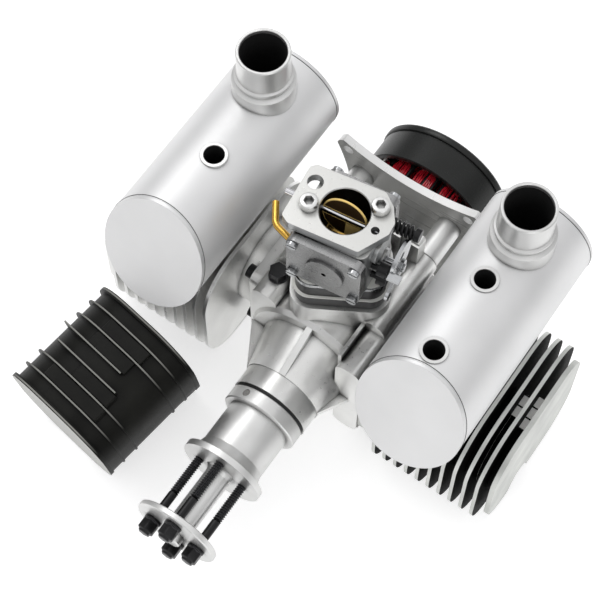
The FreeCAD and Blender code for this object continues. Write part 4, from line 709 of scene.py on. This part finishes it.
bolt_parts = []
for number in range(bolt_count):
    angle = math.tau / bolt_count * number
    x, z = bolt_circle * math.cos(angle), bolt_circle * math.sin(angle)
    at = engine_place(x, washer_front, z)
    bolt_parts.append(set_down(turned_piece("collar", collar_outline, 40), at, forwards))
    bolt_parts.append(set_down(hexagon_head(), at, forwards))
    bolt_parts.append(set_down(turned_piece("shank", shank_outline, 32), at, backwards))
    thread = sewn(wound(half_profile("thread", thread_profile), 20, thread_turns, thread_pitch, merge=True))
    start = engine_place(x, washer_front + thread_start * 1000, z)
    bolt_parts.append(set_down(thread, start, backwards))
prop_bolts = joined("prop_bolts_threaded", bolt_parts)
fit(prop_bolts, "crank", black_steel, 30, ["prop_bolts"])

# Intake stack
# Phenolic spacer and insulator between paper gaskets, with a milled plate on top, turned about
# the boss of the crankcase. A moulded reed cage hangs in the passage.

milled_tones = (0.64, 0.65, 0.66), (0.42, 0.43, 0.44)
phenolic = dull("phenolic_board", (0.016, 0.016, 0.017), 0.34, 1100.0)
milled = alloy("milled_alloy", milled_tones, 0.26, 60.0, stretch=(30, 1, 1), depth=0.00003)
reed_plastic = dull("reed_plastic", (0.04, 0.04, 0.045), 0.4, 900.0)
dress(phenolic, "intake_spacer", "intake_insulator")
dress(gasket_paper, "intake_gaskets")
dress(milled, "carb_plate")
dress(reed_plastic, "reed_cage")

# Carburettor body
# A die casting with a flat machined face on top. Its bore is painted near black as shade, the
# diaphragm covers are pressed plates front and rear, and the small screws are bright steel.

carb_axis = engine_place(0, 1.0, 0)
carb_turn = 7.0
bore_reach = 0.01112
skin_tones, top_tone = ((0.44, 0.45, 0.45), (0.66, 0.67, 0.67)), (0.66, 0.66, 0.64)
# The painted shadow for the casting's corners, and the painted shade that darkens the bore.
carb_corner_shadow, bore_painted_shade = (0.03, 0.03, 0.03), (0.010, 0.009, 0.006)
cover_tones = (0.42, 0.42, 0.42), (0.28, 0.28, 0.28)
polished_tones = (0.82, 0.82, 0.84), (0.66, 0.66, 0.68)


def carb_finish():
    """The casting's skin with painted shadow in its corners and painted shade inside the bore, which stands
    upright on the engine's intake.
    """
    finish, tree, shader = new_finish("carburettor_casting")
    bore = falling(tree, off_axis(tree, carb_axis, (1, 1, 0)), bore_reach, bore_reach + 0.0001)
    top = rising(tree, component(tree, surface(tree, "Normal"), "Z"), 0.85, 0.95)
    skin = two_tones(tree, top, mottle(tree, 45.0, 2.0, *skin_tones), top_tone)
    skin = painted_corner_shade(tree, 0.003, carb_corner_shadow, skin)
    tree.links.new(two_tones(tree, bore, skin, bore_painted_shade), shader.inputs["Base Color"])
    grained(tree, shader, grain(tree, 900.0), 0.26, 0.42, 0.00006)
    shader.inputs["Metallic"].default_value = 0.9
    return finish


dress(carb_finish(), "carb_body")
cover_alloy = alloy("pressed_cover", cover_tones, 0.3, 900.0, depth=0.00005)
dress(cover_alloy, "carb_covers")
dress(bright_steel, "carb_cover_screws", "throttle_shaft", "throttle_lever")
polished = alloy("polished_shaft", polished_tones, 0.14, 500.0, depth=0.00001, corner=0.0005)
dress(polished, "choke_shaft")

# Butterflies
# Thin brass discs screwed to their shafts. Fuel has stained the choke's disc brown, except along
# its rim and its shaft and where the charge washes it. The throttle's disc is bright brass, painted
# brighter than brass as light on it deep in the shaded bore.

choke_low, choke_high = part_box("choke_plate")
choke_centre = (choke_low + choke_high) / 2
choke_along = Matrix.Rotation(math.radians(carb_turn), 3, "Z") @ Vector((1, 0, 0))
choke_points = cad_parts["choke_plate"].data.vertices
choke_radius = max((point.co - choke_centre).length for point in choke_points)
choke_bright, choke_stains = (0.98, 0.70, 0.24), ((0.030, 0.015, 0.004), (0.05, 0.026, 0.008))
rim_width, shaft_line = 0.0006, (0.0020, 0.0025)
washed_height, washed_run = (-0.0030, -0.0020), (0.0010, 0.0080)
throttle_deep, throttle_edge = (0.60, 0.38, 0.10), (0.95, 0.72, 0.30)


def throttle_brass_with_painted_light():
    finish, tree, shader = new_finish("throttle_painted_light")
    # The brass tone is raised past real brass, painted light on the disc in the bore's shade.
    brassy = mottle(tree, 160.0, 4.0, throttle_deep, tuple(tone * 1.8 for tone in throttle_deep))
    body = two_tones(tree, worn_edge(tree, 0.0004), brassy, throttle_edge)
    tree.links.new(body, shader.inputs["Base Color"])
    grained(tree, shader, grain(tree, 900.0), 0.14, 0.28, 0.00003)
    shader.inputs["Metallic"].default_value = 1.0
    return finish


def choke_finish():
    """Brown stain inside a bright rim, with a bright line at the shaft and a washed patch below it."""
    finish, tree, shader = new_finish("stained_choke")
    away = vectors(tree, "SUBTRACT", surface(tree, "Object"), choke_centre)
    rim = rising(tree, vectors(tree, "LENGTH", away), choke_radius - rim_width, choke_radius - 0.0004)
    from_shaft = vectors(tree, "LENGTH", vectors(tree, "CROSS_PRODUCT", away, choke_along))
    line = band(tree, from_shaft, *shaft_line)
    below = falling(tree, component(tree, away, "Z"), *washed_height)
    along_shaft = vectors(tree, "DOT_PRODUCT", away, choke_along)
    washed = both(tree, below, band(tree, along_shaft, *washed_run))
    bright = either(tree, rim, line, washed)
    stain = mottle(tree, 160.0, 4.0, *choke_stains)
    tree.links.new(two_tones(tree, bright, stain, choke_bright), shader.inputs["Base Color"])
    grained(tree, shader, grain(tree, 900.0), 0.36, 0.5, 0.00003)
    shader.inputs["Metallic"].default_value = 0.3
    return finish


dress(choke_finish(), "choke_plate")
dress(throttle_brass_with_painted_light(), "throttle_plate")

# Carburettor mounting screws
# Two long steel cap screws go down through the whole body. Their heads are plain cylinders with a
# rounded rim and a deep hexagon socket.

head_radius, head_height, head_rounding = 0.0040, 0.0044, 0.0006
screw_radius, screw_length = 0.0024, 0.0388
socket_radius, socket_depth = 0.0024, 0.003
screw_spots = ((-15.1, -4.6), (12.95, 7.9))
face_height = 104.8


def carb_place(x, y, z):
    """A place given across, along and above on the carburettor, which is turned on its stack."""
    turn = Matrix.Rotation(math.radians(carb_turn), 3, "Z")
    return carb_axis + turn @ Vector((x / 1000, y / 1000, z / 1000))


def cut(piece, cutter):
    """Cuts the form of one piece out of another and throws the cutter away."""
    bite = piece.modifiers.new("bite", "BOOLEAN")
    bite.operation = "DIFFERENCE"
    bite.solver = "EXACT"
    bite.object = cutter
    hold(piece)
    bpy.ops.object.modifier_apply(modifier="bite")
    bpy.data.objects.remove(cutter)


cap_screws = []
for x, y in screw_spots:
    screw = upright_blank("cap_screw", 48, head_radius, 0, head_height)
    pick(screw, "FACE", lambda face: face.normal.z < -0.9)
    bpy.ops.mesh.inset(thickness=head_radius - screw_radius)
    pull((0, 0, -screw_length))
    bpy.ops.object.mode_set(mode="OBJECT")
    points = screw.data.vertices
    pick(screw, "EDGE", lambda edge: all(points[end].co.z > head_height - 0.0001 for end in edge.vertices))
    bpy.ops.mesh.bevel(offset=head_rounding, segments=4)
    bpy.ops.object.mode_set(mode="OBJECT")
    key = upright_blank("key", 6, socket_radius, head_height - socket_depth, head_height + socket_depth)
    cut(screw, key)
    cap_screws.append(set_down(screw, carb_place(x, y, face_height), (0, 0, carb_turn)))
cap_steel = alloy("cap_screw_steel", turned_tones, 0.32, 700.0, depth=0.00002, corner=0.003)
fit(joined("carb_cap_screws", cap_screws), "engine", cap_steel, 35, ["carb_mount_screws"])

# Fuel tube
# A short length of drawn brass tube, pressed into the body and bent back beside it. The fuel hose
# is pushed over its open end.

tube_radius, tube_wall, bend_radius = 0.0016, 0.0005, 0.0065
tube_height, tube_depth = 90.8, 0.003
brass_tones = (0.80, 0.50, 0.12), (0.55, 0.32, 0.06)
tube_start = carb_place(-16, -17.2, tube_height)
tube_corner = carb_place(-27, -13, tube_height)
tube_tip = carb_place(-32, -3, tube_height)
first_run = tube_corner - tube_start
second_run = tube_tip - tube_corner
bend = first_run.to_2d().angle_signed(second_run.to_2d())
corner_cut = bend_radius * math.tan(abs(bend) / 2)
bend_side = 1 if bend < 0 else -1
sideways = Vector((-first_run.y, first_run.x, 0)).normalized() * bend_side
bend_start = tube_corner - first_run.normalized() * corner_cut
clear_hands()
heading = math.degrees(math.atan2(first_run.y, first_run.x))
bpy.ops.mesh.primitive_circle_add(vertices=20, radius=tube_radius, fill_type="NGON", location=(0, 0, 0))
tube = set_down(bpy.context.object, tube_start, (0, 90, heading))
pick(tube, "FACE", lambda face: True)
pull(bend_start - tube_start)
bpy.ops.mesh.spin(steps=10, angle=bend, center=bend_start + sideways * bend_radius, axis=(0, 0, 1))
pull(second_run - second_run.normalized() * corner_cut)
bpy.ops.mesh.inset(thickness=tube_wall)
pull(-second_run.normalized() * tube_depth)
bpy.ops.mesh.select_all(action="SELECT")
bpy.ops.mesh.normals_make_consistent(inside=False)
bpy.ops.object.mode_set(mode="OBJECT")
brass = alloy("drawn_brass", brass_tones, 0.22, 900.0, depth=0.00002, corner=0.001)
fit(tube, "engine", brass, 35, ["fuel_nipple"])

# Stop screw spring and adjusting screws
# A coil of black music wire is squeezed between the body and the head of the stop screw, so that
# the screw doesn't shake loose. The two mixture screws below are black too.

spring_foot, spring_run, spring_laps = (17.9, 11.0, 90.7), 0.0102, 5
spring_wire, spring_reach = 0.0008, 0.0026
clear_hands()
bpy.ops.mesh.primitive_circle_add(
    vertices=10, radius=spring_wire, fill_type="NOTHING", location=(spring_reach, 0, 0),
    rotation=(math.pi / 2, 0, 0))
spring = bpy.context.object
bpy.ops.object.transform_apply(location=True, rotation=True, scale=True)
sewn(wound(spring, 24, spring_laps, spring_run / spring_laps), rim=10)
set_down(spring, carb_place(*spring_foot), (0, 90, carb_turn))
fit(spring, "engine", black_steel, 80, ["throttle_spring"])
dress(black_steel, "mixture_screws")

# Spare barrel
# A loose finned barrel lies beside the engine, cast with thin fins of uneven length and closed at
# its front end. It is painted satin black, with bare metal on its end face, a painted highlight on
# the fins' rims where they face up, and painted shade in its corners.

spare_turn, spare_lean = 9.7, 7.5
spare_place = Vector((-0.0725, 0.0082, 0))
# Along the barrel, places are counted in fins from its middle.
spare_pitch, spare_corner = 0.00827, 0.024
spare_bore, bore_half = 0.018, 0.06
fin_half = (0.0315, 0.0300)
core_half, core_end = (0.0299, 0.0276), 3.5
full_fins, fin_share, fin_foot = (-2.5, -1.5, 1.5, 2.5), 0.045, 0.018
plate_ends = ((-3.6, -3.34), (3.34, 3.6))
short_fins = ((-0.5, -0.021, 0.018), (0.5, -0.025, 0.013))
cast_pads = (
    (-1.4, -0.6, -0.004, 0.019),
    (0.58, 1.4, -0.010, 0.014),
    (1.6, 2.4, -0.010, 0.016),
    (-2.4, -1.6, -0.014, 0.020),
)
pad_height = 0.0011
flange_low, flange_high = (-0.022, 0.012, -0.060), (0.022, 0.030, -0.020)
spare_tones, spare_shadow = ((0.004, 0.004, 0.0035), (0.013, 0.013, 0.011)), (0.001, 0.001, 0.001)
# The painted highlight on the fins' upward rims, and the machined end face.
spare_fin_highlight, spare_end = (0.26, 0.26, 0.24), (0.66, 0.66, 0.63)


def rounded_slab(name, low, high, corner):
    """A plate across the barrel, given by two corners, with its long edges rounded."""
    clear_hands()
    low, high = Vector(low), Vector(high)
    bpy.ops.mesh.primitive_cube_add(size=1, location=(low + high) / 2)
    slab = bpy.context.object
    slab.name = name
    slab.scale = high - low
    bpy.ops.object.transform_apply(location=True, rotation=True, scale=True)
    points = slab.data.vertices

    def runs_along(edge):
        first, last = (points[end].co.y for end in edge.vertices)
        return abs(first - last) > 0.0001

    pick(slab, "EDGE", runs_along)
    bpy.ops.mesh.bevel(offset=corner, segments=8)
    bpy.ops.object.mode_set(mode="OBJECT")
    return slab


def across(half, start, end):
    low, high = (-half[0], start * spare_pitch, -half[1]), (half[0], end * spare_pitch, half[1])
    return rounded_slab("spare_plate", low, high, spare_corner)


core_low = (-core_half[0], -core_end * spare_pitch, -core_half[1])
core_high = (fin_half[0] - 0.0002, core_end * spare_pitch, core_half[1])
slabs = [rounded_slab("spare_core", core_low, core_high, spare_corner - 0.001)]
for start, end in plate_ends:
    slabs.append(across(fin_half, start, end))
front_plate = slabs[1]
for place in full_fins:
    slabs.append(across(fin_half, place - fin_share, place + fin_share))
for place, left, right in short_fins:
    low = (left, (place - fin_share) * spare_pitch, fin_foot)
    high = (right, (place + fin_share) * spare_pitch, fin_half[1])
    slabs.append(rounded_slab("short_fin", low, high, 0.0005))
for start, end, left, right in cast_pads:
    low = (left, start * spare_pitch, fin_foot)
    high = (right, end * spare_pitch, core_half[1] + pad_height)
    slabs.append(rounded_slab("cast_pad", low, high, 0.0004))
slabs.append(rounded_slab("port_flange", flange_low, flange_high, 0.002))
for slab in slabs:
    if slab is not front_plate:
        bore = upright_blank("bore", 64, spare_bore, -bore_half, bore_half)
        cut(slab, set_down(bore, (0, 0, 0), forwards))
spare = joined("spare_barrel_cast", slabs)
set_down(spare, (0, 0, 0), (spare_lean, 0, 0))
set_down(spare, spare_place, (0, 0, -spare_turn))
# It rests on its front fins, and what reaches below the floor is cut off.
spare_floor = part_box("spare_barrel")[0].z
fins_low = min(point.co.z for point in spare.data.vertices if point.co.y < spare_place.y - 0.02)
spare_lift = Vector((0, 0, spare_floor - fins_low))
set_down(spare, spare_lift)
spare_centre = spare_place + spare_lift
pick(spare, "FACE", lambda face: True)
bpy.ops.mesh.bisect(plane_co=(0, 0, spare_floor), plane_no=(0, 0, 1), use_fill=True, clear_inner=True)
bpy.ops.object.mode_set(mode="OBJECT")


def spare_finish():
    """Black paint with painted shade in the corners, a painted highlight on the fins' rims that face up,
    and a machined face on the end that looks forward.
    """
    finish, tree, shader = new_finish("spare_barrel_paint")
    turned = Matrix.Rotation(math.radians(-spare_turn), 3, "Z")
    lengthways = turned @ Matrix.Rotation(math.radians(spare_lean), 3, "X")
    forward, upward = lengthways @ Vector((0, -1, 0)), lengthways @ Vector((0, 0, 1))
    place, facing = surface(tree, "Object"), surface(tree, "Normal")
    ahead = vectors(tree, "DOT_PRODUCT", place, forward)
    height = vectors(tree, "DOT_PRODUCT", place, upward)
    furthest = max(forward.dot(point.co) for point in spare.data.vertices)
    top = max(upward.dot(point.co) for point in spare.data.vertices)
    # The fins are counted from ten at the barrel's middle, so that no count is negative.
    middle_count = 10.0
    offset = middle_count - forward.dot(spare_centre) / spare_pitch
    count = maths(tree, "MULTIPLY_ADD", ahead, 1 / spare_pitch, offset)
    at_fin = band(tree, maths(tree, "FRACT", count), 0.5 - fin_share, 0.5 + fin_share)
    # The fins' rims are painted paler only where they face up, as a highlight.
    looks_up = rising(tree, vectors(tree, "DOT_PRODUCT", facing, upward), 0.45, 0.9)
    near_middle = maths(tree, "COMPARE", count, middle_count, 1.0)
    painted_core = both(tree, near_middle, falling(tree, height, top - 0.0010, top - 0.0008))
    edges = both(tree, both(tree, at_fin, looks_up), falling(tree, painted_core, 0.0, 1.0))
    # Painted shadow in the corners under the paint's clouds.
    paint = painted_corner_shade(tree, 0.004, spare_shadow, mottle(tree, 55.0, 3.0, *spare_tones))
    body = two_tones(tree, edges, paint, spare_fin_highlight)
    looks_ahead = rising(tree, vectors(tree, "DOT_PRODUCT", facing, forward), 0.8, 0.9)
    foremost = rising(tree, ahead, furthest - 0.0008, furthest - 0.0004)
    end_face = both(tree, looks_ahead, foremost)
    tree.links.new(two_tones(tree, end_face, body, spare_end), shader.inputs["Base Color"])
    grained(tree, shader, grain(tree, 1800.0), 0.36, 0.52, 0.00004)
    shader.inputs["Specular IOR Level"].default_value = 0.12
    return finish


fit(spare, "engine", spare_finish(), 35, ["spare_barrel"])

# Studio floor
# A wide sheet of white paper. It glows just enough to read as white to the camera and in the
# metal, and still takes the engine's shadow.

paper_low, paper_high, paper_glow = (0.66, 0.66, 0.66), (0.69, 0.69, 0.69), 0.62
paper_size, paper_gap = 8.0, 0.0004
clear_hands()
bpy.ops.mesh.primitive_plane_add(size=paper_size, location=(0, 0, cad_low[2] - paper_gap))
floor = bpy.context.object
floor.name = "studio_floor"
sheet, tree, shader = new_finish("studio_paper")
tree.links.new(mottle(tree, 3.0, 2.0, paper_low, paper_high), shader.inputs["Base Color"])
shader.inputs["Roughness"].default_value = 0.85
shader.inputs["Emission Color"].default_value = (1, 1, 1, 1)
path = tree.nodes.new("ShaderNodeLightPath")
seen = either(
    tree, path.outputs["Is Camera Ray"], path.outputs["Is Glossy Ray"], path.outputs["Is Transmission Ray"])
tree.links.new(between(tree, seen, 0.0, paper_glow, 0.0, 1.0), shader.inputs["Emission Strength"])
floor.data.materials.append(sheet)

# Studio light
# A white tent, bright overhead with a darker band round the walls that draws soft gradients on
# the metal, and two soft boxes.

tent = bpy.data.worlds.new("light_tent")
bpy.context.scene.world = tent
tent.use_nodes = True
tree = tent.node_tree
tree.nodes.clear()
output = tree.nodes.new("ShaderNodeOutputWorld")
cloth = tree.nodes.new("ShaderNodeBackground")
place = tree.nodes.new("ShaderNodeTexCoord")
split = tree.nodes.new("ShaderNodeSeparateXYZ")
walls = tree.nodes.new("ShaderNodeValToRGB")
bands = ((0.0, 0.78), (0.06, 0.70), (0.20, 0.36), (0.42, 0.50), (0.70, 0.88), (1.0, 0.92))
stops = walls.color_ramp.elements
stops[0].position, stops[1].position = bands[0][0], bands[-1][0]
for position, level in bands[1:-1]:
    stops.new(position)
for stop, (position, level) in zip(stops, bands):
    stop.color = (level, level, level * 1.01, 1.0)
tree.links.new(place.outputs["Generated"], split.inputs["Vector"])
tree.links.new(split.outputs["Z"], walls.inputs["Fac"])
tree.links.new(walls.outputs["Color"], cloth.inputs["Color"])
tree.links.new(cloth.outputs["Background"], output.inputs["Surface"])
box_target = Vector((0, 0.08, 0.05))


def soft_box(name, at, power, width, height):
    """A soft box that looks at the engine's middle."""
    lamp = bpy.data.lights.new(name, "AREA")
    lamp.shape = "RECTANGLE"
    lamp.size, lamp.size_y = width, height
    lamp.energy = power
    box = bpy.data.objects.new(name, lamp)
    bpy.context.scene.collection.objects.link(box)
    box.location = at
    aim = box_target - Vector(at)
    box.rotation_euler = aim.to_track_quat("-Z", "Y").to_euler()


soft_box("key_box", (-0.7, 0.3, 1.1), 3.2, 0.6, 0.6)
soft_box("fill_box", (0.9, -0.5, 0.8), 1.6, 0.7, 0.5)

# Camera
# A long lens above the front right corner, at the photograph's angle. Its turn, height and roll
# were found from the ellipses of the round parts.

azimuth, elevation, roll = math.radians(33.89), math.radians(64.26), math.radians(0.75)
lens_length, sensor_width = 107.8, 36.0
camera_place = Vector((0.1894, -0.2185, 0.7794))
level_right = Vector((math.cos(azimuth), math.sin(azimuth), 0))
flat = math.cos(elevation)
back = Vector((math.sin(azimuth) * flat, -math.cos(azimuth) * flat, math.sin(elevation)))
level_up = back.cross(level_right)
right = level_right * math.cos(roll) + level_up * math.sin(roll)
up = level_up * math.cos(roll) - level_right * math.sin(roll)
lens = bpy.data.cameras.new("camera")
lens.lens = lens_length
lens.sensor_width = sensor_width
lens.clip_end = 20.0
camera = bpy.data.objects.new("camera", lens)
bpy.context.scene.collection.objects.link(camera)
facing = Matrix((right, up, back)).transposed()
camera.matrix_world = Matrix.Translation(camera_place) @ facing.to_4x4()
bpy.context.scene.camera = camera
bpy.context.scene.view_settings.view_transform = "Standard"
